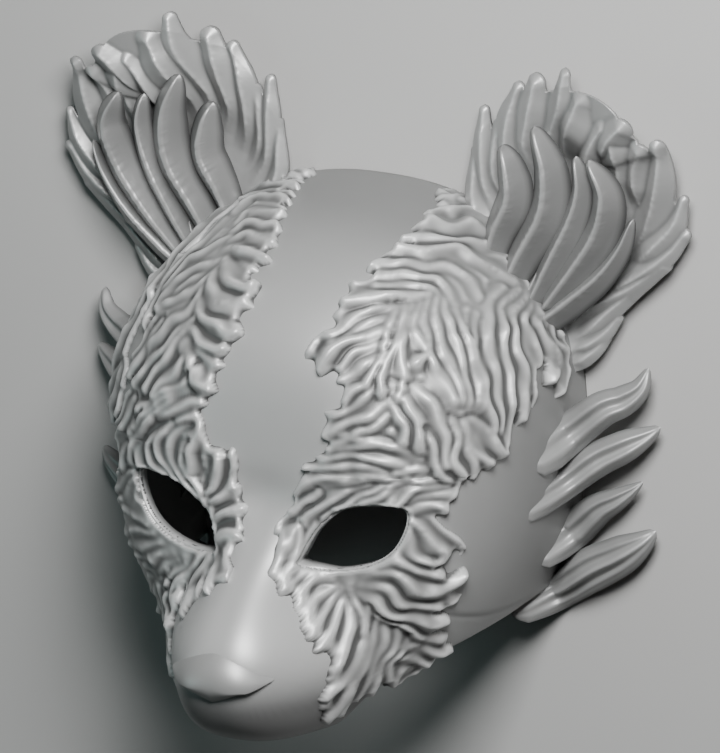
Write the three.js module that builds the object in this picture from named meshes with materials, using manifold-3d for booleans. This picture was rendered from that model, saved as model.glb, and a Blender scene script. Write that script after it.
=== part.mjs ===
// Badger half mask, lying on its rear rim with the face up.
// Millimetres, +Z out of the face, +Y from the chin to the crown, +X to the wearer's left.
// The face is one smooth surface: a rounded outline, a height above it, and a snout that swells out of it.

import * as THREE from 'three';
import { mergeVertices } from 'three/addons/utils/BufferGeometryUtils.js';
import Module from 'manifold-3d';

const wasm = await Module();
wasm.setup();

// Face
const HALF_WIDTH = 75;
const CROWN_RISE = 76;
const CHIN_DROP = 94;
const FACE_DEPTH = 89;
const OUTLINE_POWER = 2.35;
const CROWN_POWER = 2.6;
const FACE_POWER = 3.5;
const WALL = 4;

// Snout
const SNOUT_LENGTH = 38;
const SNOUT_DROP = 68;
const SNOUT_SLOPE = 35;
const SNOUT_HALF_WIDTH = 30;
const BRIDGE_HALF_WIDTH = 14;
const BRIDGE_RISE = 38;
const SNOUT_POWER = 8;

// Eye holes
const EYE_WIDTH = 35;
const EYE_HEIGHT = 23.4;
const EYE_SPACING = 64;
const EYE_DROP = 22;

// Nose pad
const PAD_HALF_WIDTH = 19;
const PAD_HEIGHT = 17;
const PAD_THICKNESS = 3.6;
const PAD_DROP = 64;
const PAD_TOP = 0.58;
const PAD_TIP = 0.08;

// Raised fur stripes
const STRIPE_THICKNESS = 2.6;
const STRIPE_RIDGE = 1.8;
const STRIPE_LOCK = 3.4;
const STRIPE_SUNK = 1.5;
const STRIPE_STEPS = 34;
const STRIPE_WIDE_STEPS = 8;

// Ears
const EAR_WIDTH = 78;
const EAR_HEIGHT = 104;
const EAR_OUT = 76.5;
const EAR_UP = 63;
const EAR_EDGE = 16;
const EAR_FLOOR = 4;
const EAR_WALL = 3.2;
const EAR_RIB = 1.4;
const EAR_ROOT_HEIGHT = 13;
const LOCK_WIDTH = 9;
const LOCK_DEPTH = 6.5;
const LOCK_TIP = 0.1;

// Cheek tufts
const TUFT_LENGTH = 33;
const TUFT_WIDTH = 19;
const TUFT_DEPTH = 9;
const TUFT_ROOT = 2.4;

const GAP = 0.4;
const FACE_TURNS = 56;
const FACE_STEPS = 18;
const HOLLOW_TURNS = 30;
const HOLLOW_STEPS = 13;
const PROFILE_STEPS = 160;
const FAR = 150;

// Eye outline, shares of the eye's width and height from its middle, inner corner first
const EYE_OUTLINE = [
  { across: -0.5, up: -0.4 },
  { across: -0.37, up: 0 },
  { across: -0.21, up: 0.26 },
  { across: -0.04, up: 0.43 },
  { across: 0.19, up: 0.5 },
  { across: 0.47, up: 0.48 },
  { across: 0.5, up: 0.26 },
  { across: 0.42, up: -0.05 },
  { across: 0.31, up: -0.24 },
  { across: 0.15, up: -0.38 },
  { across: -0.02, up: -0.46 },
  { across: -0.19, up: -0.5 },
  { across: -0.41, up: -0.46 },
];

// Lower edge of the wall: shares of the half width, and of the face depth above the rear rim
const LOWER_EDGE = [
  { across: 0, up: 0.7 },
  { across: 0.16, up: 0.76 },
  { across: 0.3, up: 0.9 },
  { across: 0.43, up: 0.89 },
  { across: 0.58, up: 0.73 },
  { across: 0.7, up: 0.63 },
  { across: 0.79, up: 0.48 },
  { across: 0.84, up: 0.25 },
  { across: 0.86, up: 0 },
];

// Plane of the lower edge, below the middle, as a share of the chin drop; and where an eye cut starts
const LOWER_EDGE_SHARE = 0.42;
const EYE_CUT_START = 0.4;

// Chart place of the eye's middle that the stripe's stations are drawn about, and where along the stripe
// its edges start and stop to follow the eye
const EYE_STATION = { x: 0.2164, y: -0.1488 };
const EYE_FOLLOW = { start: 0.2, full: 0.4, held: 0.85, end: 1 };

// Fur stripe, ear to muzzle: turn about the face's middle in degrees, and share of the way to the rim
const STRIPE_STATIONS = [
  { innerTurn: 67, inner: 0.83, outerTurn: 60, outer: 0.86 },
  { innerTurn: 68, inner: 0.66, outerTurn: 47, outer: 0.83 },
  { innerTurn: 69, inner: 0.46, outerTurn: 36, outer: 0.83 },
  { innerTurn: 63, inner: 0.32, outerTurn: 23, outer: 0.83 },
  { innerTurn: 53, inner: 0.28, outerTurn: 15, outer: 0.76 },
  { innerTurn: 38, inner: 0.23, outerTurn: 8, outer: 0.67 },
  { innerTurn: 26, inner: 0.17, outerTurn: 3, outer: 0.58 },
  { innerTurn: 0, inner: 0.1, outerTurn: -4, outer: 0.5 },
  { innerTurn: -38, inner: 0.09, outerTurn: -13, outer: 0.45 },
  { innerTurn: -64, inner: 0.11, outerTurn: -22, outer: 0.46 },
  { innerTurn: -73, inner: 0.15, outerTurn: -30, outer: 0.5 },
  { innerTurn: -72, inner: 0.23, outerTurn: -37, outer: 0.52 },
  { innerTurn: -66, inner: 0.33, outerTurn: -44, outer: 0.55 },
  { innerTurn: -66, inner: 0.39, outerTurn: -50, outer: 0.57 },
  { innerTurn: -69, inner: 0.46, outerTurn: -57, outer: 0.56 },
  { innerTurn: -72, inner: 0.5, outerTurn: -64, outer: 0.54 },
];

// Ear outline with its lock tips, shares of the ear's width and height from its middle, inside edge first
const EAR_OUTLINE = [
  { across: -0.3, up: -0.06 },
  { across: -0.44, up: 0.08 },
  { across: -0.5, up: 0.28 },
  { across: -0.44, up: 0.29 },
  { across: -0.46, up: 0.42 },
  { across: -0.39, up: 0.38 },
  { across: -0.27, up: 0.52 },
  { across: -0.22, up: 0.49 },
  { across: -0.18, up: 0.55 },
  { across: -0.11, up: 0.52 },
  { across: -0.05, up: 0.6 },
  { across: 0.07, up: 0.52 },
  { across: 0.19, up: 0.53 },
  { across: 0.25, up: 0.45 },
  { across: 0.38, up: 0.44 },
  { across: 0.42, up: 0.32 },
  { across: 0.5, up: 0.25 },
  { across: 0.48, up: 0.08 },
  { across: 0.33, up: -0.08 },
  { across: 0.17, up: -0.23 },
  { across: 0.08, up: -0.33 },
  { across: -0.01, up: -0.4 },
  { across: -0.12, up: -0.34 },
  { across: -0.22, up: -0.2 },
];

// Inner ear locks: root and tip as shares of the ear's width and height from its middle; the bow to
// the side and the heights of root and tip as shares of the ear's width; width as a share of the lock's
const EAR_LOCKS = [
  { root: [-0.3, 0.0], tip: [-0.27, 0.35], bow: 0.07, low: 0.19, high: 0.29, width: 1.15 },
  { root: [-0.24, -0.06], tip: [-0.11, 0.43], bow: 0.13, low: 0.19, high: 0.3, width: 1.2 },
  { root: [-0.15, -0.12], tip: [0.08, 0.34], bow: 0.1, low: 0.19, high: 0.28, width: 0.85 },
  { root: [-0.12, -0.15], tip: [0.15, 0.35], bow: 0.18, low: 0.19, high: 0.3, width: 1 },
  { root: [-0.1, -0.2], tip: [0.34, 0.15], bow: 0.12, low: 0.19, high: 0.25, width: 0.8 },
];

// Middle line of the locks' shared root, shares as above
const EAR_ROOT = [[-0.33, 0.05], [-0.22, -0.03], [-0.12, -0.1], [-0.06, -0.2], [-0.04, -0.3]];

// Cheek tufts: height of root and tip as shares of the chin drop, reach and width as shares of the size
const CHEEK_TUFTS = [
  { root: 0.045, tip: 0.23, reach: 0.88, width: 1.1 },
  { root: -0.115, tip: 0.045, reach: 1, width: 1.05 },
  { root: -0.32, tip: -0.165, reach: 0.78, width: 0.9 },
  { root: -0.49, tip: -0.34, reach: 0.95, width: 1.05 },
];

const cast = new THREE.MeshStandardMaterial({ color: 0x9a9c9b, roughness: 0.42, metalness: 0 });

function blend(share) {
  const held = Math.min(Math.max(share, 0), 1);
  return held * held * (3 - 2 * held);
}

function mix(from, to, share) {
  return from + (to - from) * share;
}

// The face's sizes with the whole surface moved in by a distance
function formMovedIn(distance) {
  return {
    half: HALF_WIDTH - distance,
    crown: CROWN_RISE - distance,
    chin: CHIN_DROP - distance,
    depth: FACE_DEPTH - distance,
    snout: SNOUT_HALF_WIDTH - distance * 0.8,
    bridge: BRIDGE_HALF_WIDTH - distance * 0.5,
    slope: SNOUT_SLOPE - distance * 0.5,
  };
}

// How much of the snout stands at a place: 1 on its end, falling to 0 on the face
function snoutShare(form, x, y) {
  const rise = Math.max(y + SNOUT_DROP, 0);
  const half = mix(form.snout, form.bridge, blend(rise / BRIDGE_RISE));
  return Math.exp(-Math.pow(Math.abs(x) / half, 3) - Math.pow(rise / form.slope, 2.6));
}

// Height of the face above its rear rim
function faceHeight(form, x, y) {
  const reach = y > 0 ? form.crown : form.chin;
  const out = Math.pow(Math.abs(x) / form.half, OUTLINE_POWER) + Math.pow(Math.abs(y) / reach, OUTLINE_POWER);
  const share = Math.min(Math.pow(out, 1 / OUTLINE_POWER), 1);
  const swell = snoutShare(form, x, y);
  const plain = mix(FACE_POWER, CROWN_POWER, blend(y / (form.crown * 0.8)));
  const power = mix(plain, SNOUT_POWER, swell);
  return (form.depth + SNOUT_LENGTH * swell) * Math.pow(1 - Math.pow(share, power), 1 / power);
}

// A place on the outline in a direction
function outlinePoint(form, turn) {
  const c = Math.cos(turn);
  const s = Math.sin(turn);
  const reach = s > 0 ? form.crown : form.chin;
  const out = Math.pow(Math.abs(c) / form.half, OUTLINE_POWER) + Math.pow(Math.abs(s) / reach, OUTLINE_POWER);
  const radius = Math.pow(out, -1 / OUTLINE_POWER);
  return [radius * c, radius * s];
}

// A profile from the middle of the face to the rim, in steps of even length
function profile(form, turn) {
  const [edgeX, edgeY] = outlinePoint(form, turn);
  const fine = PROFILE_STEPS;
  const points = [];
  const lengths = [0];
  for (let i = 0; i <= fine; i += 1) {
    const out = 1 - Math.pow(1 - i / fine, 3);
    const x = edgeX * out;
    const y = edgeY * out;
    points.push(new THREE.Vector3(x, y, i === fine ? 0 : faceHeight(form, x, y)));
    if (i > 0) {
      lengths.push(lengths[i - 1] + points[i].distanceTo(points[i - 1]));
    }
  }
  return { points, lengths };
}

function profilePoint({ points, lengths }, share) {
  const wanted = Math.min(Math.max(share, 0), 1) * lengths[lengths.length - 1];
  let i = 1;
  while (i < lengths.length - 1 && lengths[i] < wanted) {
    i += 1;
  }
  const part = (wanted - lengths[i - 1]) / (lengths[i] - lengths[i - 1]);
  return points[i - 1].clone().lerp(points[i], part);
}

// A place on the face: a turn about its middle, and a share of the way to the rim
function facePoint(form, turn, share) {
  return profilePoint(profile(form, turn), share);
}

// Chart place of a point of the face: its share of the way to the rim, resolved along X and Y
function chartPlace(x, y) {
  const turn = Math.atan2(y, x);
  const { points, lengths } = profile(formMovedIn(0), turn);
  const wanted = Math.hypot(x, y);
  const radii = points.map((p) => Math.hypot(p.x, p.y));
  const beyond = radii.findIndex((radius) => radius > wanted);
  const part = (wanted - radii[beyond - 1]) / (radii[beyond] - radii[beyond - 1]);
  const share = mix(lengths[beyond - 1], lengths[beyond], part) / lengths[lengths.length - 1];
  return { x: share * Math.cos(turn), y: share * Math.sin(turn) };
}

function geometryOf(points, faces) {
  const geometry = new THREE.BufferGeometry();
  const places = points.flatMap((p) => [p.x, p.y, p.z]);
  geometry.setAttribute('position', new THREE.Float32BufferAttribute(places, 3));
  geometry.setIndex(faces.flat());
  return geometry;
}

// Rings of points joined into a closed body, with a fan over each end
function loft(rings) {
  const sides = rings[0].length;
  const points = rings.flat();
  const faces = [];
  for (let r = 0; r + 1 < rings.length; r += 1) {
    for (let k = 0; k < sides; k += 1) {
      const a = r * sides + k;
      const b = r * sides + ((k + 1) % sides);
      faces.push([a, b, b + sides], [a, b + sides, a + sides]);
    }
  }
  for (const [ring, first, turned] of [[0, 0, true], [rings.length - 1, (rings.length - 1) * sides, false]]) {
    const middle = new THREE.Vector3();
    rings[ring].forEach((p) => middle.addScaledVector(p, 1 / sides));
    points.push(middle);
    const hub = points.length - 1;
    for (let k = 0; k < sides; k += 1) {
      const a = first + k;
      const b = first + ((k + 1) % sides);
      faces.push(turned ? [hub, b, a] : [hub, a, b]);
    }
  }
  return geometryOf(points, faces);
}

// Two grids of points of one size joined round their edges into a closed body
function slab(upper, lower) {
  const rows = upper.length;
  const columns = upper[0].length;
  const points = [...upper.flat(), ...lower.flat()];
  const below = rows * columns;
  const faces = [];
  for (let i = 0; i + 1 < rows; i += 1) {
    for (let j = 0; j + 1 < columns; j += 1) {
      const a = i * columns + j;
      const b = a + columns;
      faces.push([a, b, b + 1], [a, b + 1, a + 1]);
      faces.push([below + a, below + b + 1, below + b], [below + a, below + a + 1, below + b + 1]);
    }
  }
  const border = [];
  for (let j = 0; j < columns; j += 1) {
    border.push(j);
  }
  for (let i = 1; i < rows; i += 1) {
    border.push(i * columns + columns - 1);
  }
  for (let j = columns - 2; j >= 0; j -= 1) {
    border.push((rows - 1) * columns + j);
  }
  for (let i = rows - 2; i > 0; i -= 1) {
    border.push(i * columns);
  }
  border.forEach((a, k) => {
    const b = border[(k + 1) % border.length];
    faces.push([a, b, below + b], [a, below + b, below + a]);
  });
  return geometryOf(points, faces);
}

// A closed geometry as a solid, turned inside out first if its faces point in
function solidOf(geometry) {
  const plain = geometry.clone();
  plain.deleteAttribute('normal');
  plain.deleteAttribute('uv');
  const merged = mergeVertices(plain, 1e-4);
  const places = merged.attributes.position.array;
  const faces = Uint32Array.from(merged.index.array);
  let volume = 0;
  for (let f = 0; f < faces.length; f += 3) {
    const [a, b, c] = [faces[f], faces[f + 1], faces[f + 2]].map((v) => new THREE.Vector3().fromArray(places, v * 3));
    volume += a.dot(b.cross(c));
  }
  if (volume < 0) {
    for (let f = 0; f < faces.length; f += 3) {
      [faces[f + 1], faces[f + 2]] = [faces[f + 2], faces[f + 1]];
    }
  }
  return new wasm.Manifold(new wasm.Mesh({ numProp: 3, vertProperties: places, triVerts: faces }));
}

function geometryFrom(solid) {
  const mesh = solid.getMesh();
  const geometry = new THREE.BufferGeometry();
  geometry.setAttribute('position', new THREE.Float32BufferAttribute(mesh.vertProperties, 3));
  geometry.setIndex(Array.from(mesh.triVerts));
  geometry.computeVertexNormals();
  return geometry;
}

// The largest body of a solid, without crumbs that a cut leaves
function mainBody(solid) {
  const bodies = solid.decompose();
  return bodies.reduce((best, body) => (body.volume() > best.volume() ? body : best));
}

// A geometry drawn on the wearer's left, as a solid on the wanted side: 1 left, -1 right
function solidOnSide(geometry, side) {
  const placed = geometry.clone();
  placed.scale(side, 1, 1);
  return solidOf(placed);
}

// The face filled to its rear rim, drawn past the rim by a depth below it
function filledFace(distance, below) {
  const form = formMovedIn(distance);
  const turns = distance > GAP ? HOLLOW_TURNS : FACE_TURNS;
  const steps = distance > GAP ? HOLLOW_STEPS : FACE_STEPS;
  const rings = [];
  const profiles = [];
  for (let k = 0; k < turns; k += 1) {
    profiles.push(profile(form, (k / turns) * Math.PI * 2));
  }
  if (below > 0) {
    rings.push(profiles.map((line) => profilePoint(line, 1).setZ(-below)));
  }
  for (let i = steps; i > 0; i -= 1) {
    rings.push(profiles.map((line) => profilePoint(line, i / steps)));
  }
  return solidOf(loft(rings));
}

// Straight cut through the wall along Z, in the shape of one eye
function eyeCut(side) {
  const corners = EYE_OUTLINE.map(({ across, up }) => new THREE.Vector2(
    side * (EYE_SPACING / 2 + across * EYE_WIDTH),
    up * EYE_HEIGHT - EYE_DROP,
  ));
  const shape = new THREE.Shape();
  shape.setFromPoints(new THREE.SplineCurve([...corners, corners[0]]).getPoints(26).slice(0, -1));
  const cut = new THREE.ExtrudeGeometry(shape, { depth: FAR, bevelEnabled: false, steps: 1 });
  cut.translate(0, 0, FACE_DEPTH * EYE_CUT_START);
  return solidOf(cut);
}

// What lies behind the lower edge, cut away along Y
function lowerCut() {
  const line = LOWER_EDGE.map(({ across, up }) => new THREE.Vector2(across * HALF_WIDTH, up * FACE_DEPTH));
  const half = new THREE.SplineCurve(line).getPoints(16);
  const shape = new THREE.Shape();
  shape.moveTo(-half[half.length - 1].x, -FAR);
  half.slice().reverse().forEach((p) => shape.lineTo(-p.x, p.y));
  half.slice(1).forEach((p) => shape.lineTo(p.x, p.y));
  shape.lineTo(half[half.length - 1].x, -FAR);
  const cut = new THREE.ExtrudeGeometry(shape, { depth: FAR, bevelEnabled: false, steps: 1 });
  cut.rotateX(Math.PI / 2);
  cut.translate(0, -CHIN_DROP * LOWER_EDGE_SHARE, 0);
  return solidOf(cut);
}

// A tapered lock along a path: rings of a flat oval, wide across the face and thin in depth.
// Blunt is the power of its taper; rootWidth and rootDepth are its first ring's sizes as shares.
function lock(path, { width, depth, rings, sides, blunt, rootWidth, rootDepth }) {
  const curve = new THREE.CatmullRomCurve3(path);
  const up = new THREE.Vector3(0, 0, 1);
  const sections = [];
  for (let i = 0; i <= rings; i += 1) {
    const share = i / rings;
    const middle = curve.getPoint(share);
    const along = curve.getTangent(share);
    const across = new THREE.Vector3().crossVectors(up, along).normalize();
    const out = new THREE.Vector3().crossVectors(along, across).normalize();
    const taper = Math.max(Math.pow(1 - Math.pow(share, blunt), 0.6), LOCK_TIP);
    const grow = blend(share * 2);
    const halfWidth = width * 0.5 * taper * mix(rootWidth, 1, grow);
    const halfDepth = depth * 0.5 * taper * mix(rootDepth, 1, grow);
    const ring = [];
    for (let k = 0; k < sides; k += 1) {
      const turn = (k / sides) * Math.PI * 2;
      ring.push(middle.clone()
        .addScaledVector(across, Math.cos(turn) * halfWidth)
        .addScaledVector(out, Math.sin(turn) * halfDepth));
    }
    sections.push(ring);
  }
  return loft(sections);
}

// A claw-shaped lock from the wall near the rear rim, deep at its root, with its tip turned up
function cheekTuft({ root, tip, reach, width }) {
  const start = outlinePoint(formMovedIn(WALL), Math.atan2(root * CHIN_DROP, HALF_WIDTH));
  const rootHeight = TUFT_DEPTH * TUFT_ROOT * 0.5 + GAP;
  const path = [
    new THREE.Vector3(start[0], start[1], rootHeight),
    new THREE.Vector3(start[0] + TUFT_LENGTH * reach * 0.6, mix(root, tip, 0.34) * CHIN_DROP, rootHeight * 0.72),
    new THREE.Vector3(start[0] + TUFT_LENGTH * reach, tip * CHIN_DROP, TUFT_DEPTH * 0.6),
  ];
  return lock(path, {
    width: TUFT_WIDTH * width,
    depth: TUFT_DEPTH,
    rings: 7,
    sides: 8,
    blunt: 1.5,
    rootWidth: 1.15,
    rootDepth: TUFT_ROOT,
  });
}

function maskShell() {
  const hollow = filledFace(WALL, WALL);
  let solid = filledFace(0, 0);
  for (const tuft of CHEEK_TUFTS) {
    const geometry = cheekTuft(tuft);
    solid = solid.add(solidOnSide(geometry, 1)).add(solidOnSide(geometry, -1));
  }
  return solid.subtract(hollow).subtract(eyeCut(1)).subtract(eyeCut(-1)).subtract(lowerCut());
}

// How far the eye's middle lies from the place that the stripe's stations are drawn about
function eyeShift() {
  const eye = chartPlace(EYE_SPACING / 2, -EYE_DROP);
  return { x: eye.x - EYE_STATION.x, y: eye.y - EYE_STATION.y };
}

// A chart place between the stripe's edges: shares along and across it, moved by the eye's shift beside it
function stripePlace(along, across, shift) {
  const at = along * (STRIPE_STATIONS.length - 1);
  const i = Math.min(Math.floor(at), STRIPE_STATIONS.length - 2);
  const edges = [STRIPE_STATIONS[i], STRIPE_STATIONS[i + 1]].map((row) => {
    const inner = THREE.MathUtils.degToRad(row.innerTurn);
    const outer = THREE.MathUtils.degToRad(row.outerTurn);
    return {
      x: mix(row.inner * Math.cos(inner), row.outer * Math.cos(outer), across),
      y: mix(row.inner * Math.sin(inner), row.outer * Math.sin(outer), across),
    };
  });
  const { start, full, held, end } = EYE_FOLLOW;
  const follow = blend((along - start) / (full - start)) * blend((end - along) / (end - held));
  const x = mix(edges[0].x, edges[1].x, at - i) + shift.x * follow;
  const y = mix(edges[0].y, edges[1].y, at - i) + shift.y * follow;
  return { turn: Math.atan2(y, x), share: Math.hypot(x, y) };
}

// One raised stripe: ridged locks on the face, with lock tips of uneven length along both edges.
// Ridges run across its upper and lower ends and along its middle.
function furStripe(side) {
  const rows = STRIPE_STEPS;
  const columns = STRIPE_WIDE_STEPS;
  const upper = [];
  const lower = [];
  const skin = formMovedIn(-1);
  const sunk = formMovedIn(STRIPE_SUNK);
  const lockShare = (2 * STRIPE_LOCK) / CHIN_DROP;
  const shift = eyeShift();
  for (let i = 0; i <= rows; i += 1) {
    const along = i / rows;
    const reach = i % 2 === 0 ? 1 + 0.45 * Math.sin(i * 1.9) : -0.5;
    const middle = blend((along - 0.22) / 0.15) * blend((0.62 - along) / 0.15);
    const top = [];
    const base = [];
    for (let j = 0; j <= columns; j += 1) {
      const edge = j === 0 ? -1 : Number(j === columns);
      const { turn, share } = stripePlace(along, j / columns + edge * lockShare * reach, shift);
      const flank = edge === 0 ? 1 : 0.45;
      const ridge = ((i % 2) * (1 - middle) + (j % 2) * middle) * STRIPE_RIDGE;
      const foot = facePoint(sunk, turn, share);
      const way = facePoint(skin, turn, share).sub(foot).normalize();
      top.push(foot.clone().addScaledVector(way, STRIPE_SUNK + (STRIPE_THICKNESS + ridge) * flank));
      base.push(foot);
    }
    upper.push(top);
    lower.push(base);
  }
  const raised = solidOnSide(slab(upper, lower), side).subtract(filledFace(-GAP, 0));
  return mainBody(raised.subtract(eyeCut(side)).subtract(lowerCut()));
}

// Winged nose pad on the end of the snout: an arched upper edge, pointed sides, and a lower edge
// that falls to a narrow middle
function nosePad() {
  const columns = 14;
  const rows = 6;
  const upper = [];
  const lower = [];
  const form = formMovedIn(0);
  for (let j = 0; j <= columns; j += 1) {
    const across = (j / columns) * 2 - 1;
    const wing = Math.abs(across);
    const high = mix(PAD_TOP, PAD_TIP, Math.pow(wing, 1.5));
    const low = Math.min(mix(PAD_TOP - 1, PAD_TIP, Math.pow(wing, 0.85)), high - 0.03);
    const fullness = Math.sqrt(Math.max(1 - Math.pow(wing, 3), 0));
    const top = [];
    const base = [];
    for (let i = 0; i <= rows; i += 1) {
      const x = across * PAD_HALF_WIDTH;
      const y = mix(high, low, i / rows) * PAD_HEIGHT - PAD_DROP;
      const crown = fullness * Math.sqrt(Math.sin(Math.PI * mix(0.1, 0.9, i / rows)));
      const height = faceHeight(form, x, y);
      top.push(new THREE.Vector3(x, y, height + 2 * GAP + PAD_THICKNESS * crown));
      base.push(new THREE.Vector3(x, y, height - PAD_THICKNESS));
    }
    upper.push(top);
    lower.push(base);
  }
  return solidOf(slab(upper, lower)).subtract(filledFace(-GAP, 0));
}

function earPlace(across, up) {
  return [EAR_OUT + across * EAR_WIDTH, EAR_UP + up * EAR_HEIGHT];
}

// Dished ear: rings of its outline drawn in towards the middle, hollow in front and rounded behind,
// swollen by a distance where something else is fitted round it
function dishForm(side, swell) {
  const [hubX, hubY] = earPlace(0, 0.06);
  const shares = [1, 0.9, 0.72, 0.5, 0.25];
  const grown = 1 + (3 * swell) / EAR_WIDTH;
  const ring = (share, front) => EAR_OUTLINE.map(({ across, up }, k) => {
    const [x, y] = earPlace(across, up);
    const rib = (k % 2 === 0 ? EAR_RIB : -EAR_RIB) * share;
    const hollow = mix(EAR_FLOOR, EAR_EDGE, Math.pow(share, 2)) + rib;
    const behind = mix(0.6, EAR_EDGE - EAR_WALL, Math.pow(share, 2.2)) + (rib + EAR_RIB) * 0.4;
    const out = share * grown;
    return new THREE.Vector3(mix(hubX, x, out), mix(hubY, y, out), front ? hollow + swell : behind - swell);
  });
  const rings = [...shares.slice().reverse().map((s) => ring(s, false)), ...shares.map((s) => ring(s, true))];
  return solidOnSide(loft(rings), side);
}

function earDish(side) {
  return dishForm(side, 0).subtract(filledFace(-GAP, WALL));
}

// Five long locks in front of the ear's hollow, growing from one swollen root on the face
function earTuft(side) {
  const roots = EAR_ROOT.map(([across, up]) => new THREE.Vector3(...earPlace(across, up), EAR_ROOT_HEIGHT));
  const swollen = {
    width: LOCK_WIDTH * 1.15,
    depth: LOCK_DEPTH,
    rings: 6,
    sides: 8,
    blunt: 2.2,
    rootWidth: 1,
    rootDepth: 1,
  };
  let solid = solidOnSide(lock(roots, swollen), side);
  for (const row of EAR_LOCKS) {
    const [rootX, rootY] = earPlace(...row.root);
    const [tipX, tipY] = earPlace(...row.tip);
    const bow = row.bow * EAR_WIDTH;
    const path = [
      new THREE.Vector3(rootX, rootY, row.low * EAR_WIDTH),
      new THREE.Vector3(
        mix(rootX, tipX, 0.5) + bow,
        mix(rootY, tipY, 0.48),
        mix(row.low, row.high, 0.55) * EAR_WIDTH,
      ),
      new THREE.Vector3(tipX, tipY, row.high * EAR_WIDTH),
    ];
    const geometry = lock(path, {
      width: LOCK_WIDTH * row.width,
      depth: LOCK_DEPTH,
      rings: 8,
      sides: 6,
      blunt: 2.6,
      rootWidth: 0.85,
      rootDepth: 1,
    });
    solid = solid.add(solidOnSide(geometry, side));
  }
  return mainBody(solid.subtract(filledFace(-GAP, 0)).subtract(dishForm(side, GAP * 2)));
}

const group = new THREE.Group();

function addMesh(name, solid) {
  const mesh = new THREE.Mesh(geometryFrom(solid), cast.clone());
  mesh.name = name;
  group.add(mesh);
}

addMesh('mask_shell', maskShell());
addMesh('nose_pad', nosePad());
for (const [word, side] of [['left', 1], ['right', -1]]) {
  addMesh(`fur_stripe_${word}`, furStripe(side));
  addMesh(`ear_${word}`, earDish(side));
  addMesh(`ear_tuft_${word}`, earTuft(side));
}

// The origin lies on the rest surface, under the middle of the whole mask
const box = new THREE.Box3().setFromObject(group);
group.position.set(0, -(box.min.y + box.max.y) / 2, -box.min.z);
group.updateMatrixWorld(true);

export default group;
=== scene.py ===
"""Badger half mask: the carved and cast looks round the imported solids.

Lengths are millimetres in the face's own frame, whose middle lies between the brows, and turn into the
shared frame's metres when a mesh is made. Places named by a pixel are in a picture of 720 by 753.
"""

import math

import bpy
import numpy as np
from mathutils import Matrix, Vector


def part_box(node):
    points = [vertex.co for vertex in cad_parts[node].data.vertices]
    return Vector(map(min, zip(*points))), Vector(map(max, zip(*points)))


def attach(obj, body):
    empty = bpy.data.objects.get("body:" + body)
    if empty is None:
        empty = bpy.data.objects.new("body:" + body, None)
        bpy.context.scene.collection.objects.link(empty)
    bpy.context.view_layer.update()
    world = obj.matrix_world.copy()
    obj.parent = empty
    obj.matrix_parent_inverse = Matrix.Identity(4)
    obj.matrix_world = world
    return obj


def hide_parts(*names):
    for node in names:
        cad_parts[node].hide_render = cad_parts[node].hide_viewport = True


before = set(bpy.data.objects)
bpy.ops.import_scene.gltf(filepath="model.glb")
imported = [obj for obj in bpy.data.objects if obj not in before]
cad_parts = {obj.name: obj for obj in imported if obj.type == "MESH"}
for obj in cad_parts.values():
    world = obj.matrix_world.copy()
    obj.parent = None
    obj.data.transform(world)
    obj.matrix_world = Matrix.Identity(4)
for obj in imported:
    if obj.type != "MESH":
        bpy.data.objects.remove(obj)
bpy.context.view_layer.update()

MM = 0.001

# Tiny keeps a divisor off 0, and nearly one keeps a share off the end of its range
TINY = 1e-9
NEARLY_ONE = 0.9999

# Face: its outline, wall, snout and stop in millimetres, and the powers and shares of its formula
HALF_WIDTH = 75.0
CROWN_RISE = 76.0
CHIN_DROP = 94.0
FACE_DEPTH = 89.0
OUTLINE_POWER = 2.35
CROWN_POWER = 2.6
FACE_POWER = 3.5
WALL = 4.0
SNOUT_LENGTH = 38.0
SNOUT_DROP = 68.0
SNOUT_SLOPE = 35.0
SNOUT_HALF_WIDTH = 30.0
BRIDGE_HALF_WIDTH = 14.0
BRIDGE_RISE = 38.0
SNOUT_POWER = 8.0
SNOUT_SIDE_POWER = 3
SNOUT_RISE_POWER = 2.6
SNOUT_INSET_SHARE = 0.8
BRIDGE_INSET_SHARE = 0.5
CROWN_POWER_SHARE = 0.8
STOP_DEPTH = 2.6
STOP_DROP = 13.0
STOP_HALF_WIDTH = 15.0
STOP_HALF_HEIGHT = 9.0

# Eye holes and lower edge, their outlines in shares of the width and height
EYE_WIDTH = 35.0
EYE_HEIGHT = 23.4
EYE_SPACING = 64.0
EYE_DROP = 22.0
EYE_OUTLINE = [
    (-0.5, -0.4), (-0.37, 0.0), (-0.21, 0.26), (-0.04, 0.43), (0.19, 0.5), (0.47, 0.48), (0.5, 0.26),
    (0.42, -0.05), (0.31, -0.24), (0.15, -0.38), (-0.02, -0.46), (-0.19, -0.5), (-0.41, -0.46),
]
LOWER_EDGE = [
    (0.0, 0.7), (0.16, 0.76), (0.3, 0.9), (0.43, 0.89), (0.58, 0.73), (0.7, 0.63), (0.79, 0.48),
    (0.84, 0.25), (0.86, 0.0),
]
LOWER_EDGE_DROP = 0.42
LOWER_EDGE_STEPS = 60
EYE_RING_STEPS = 79

# The crown's place in the shared frame fixes how far the face's middle lies from its origin
FACE_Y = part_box("mask_shell")[1][1] / MM - CROWN_RISE

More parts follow.
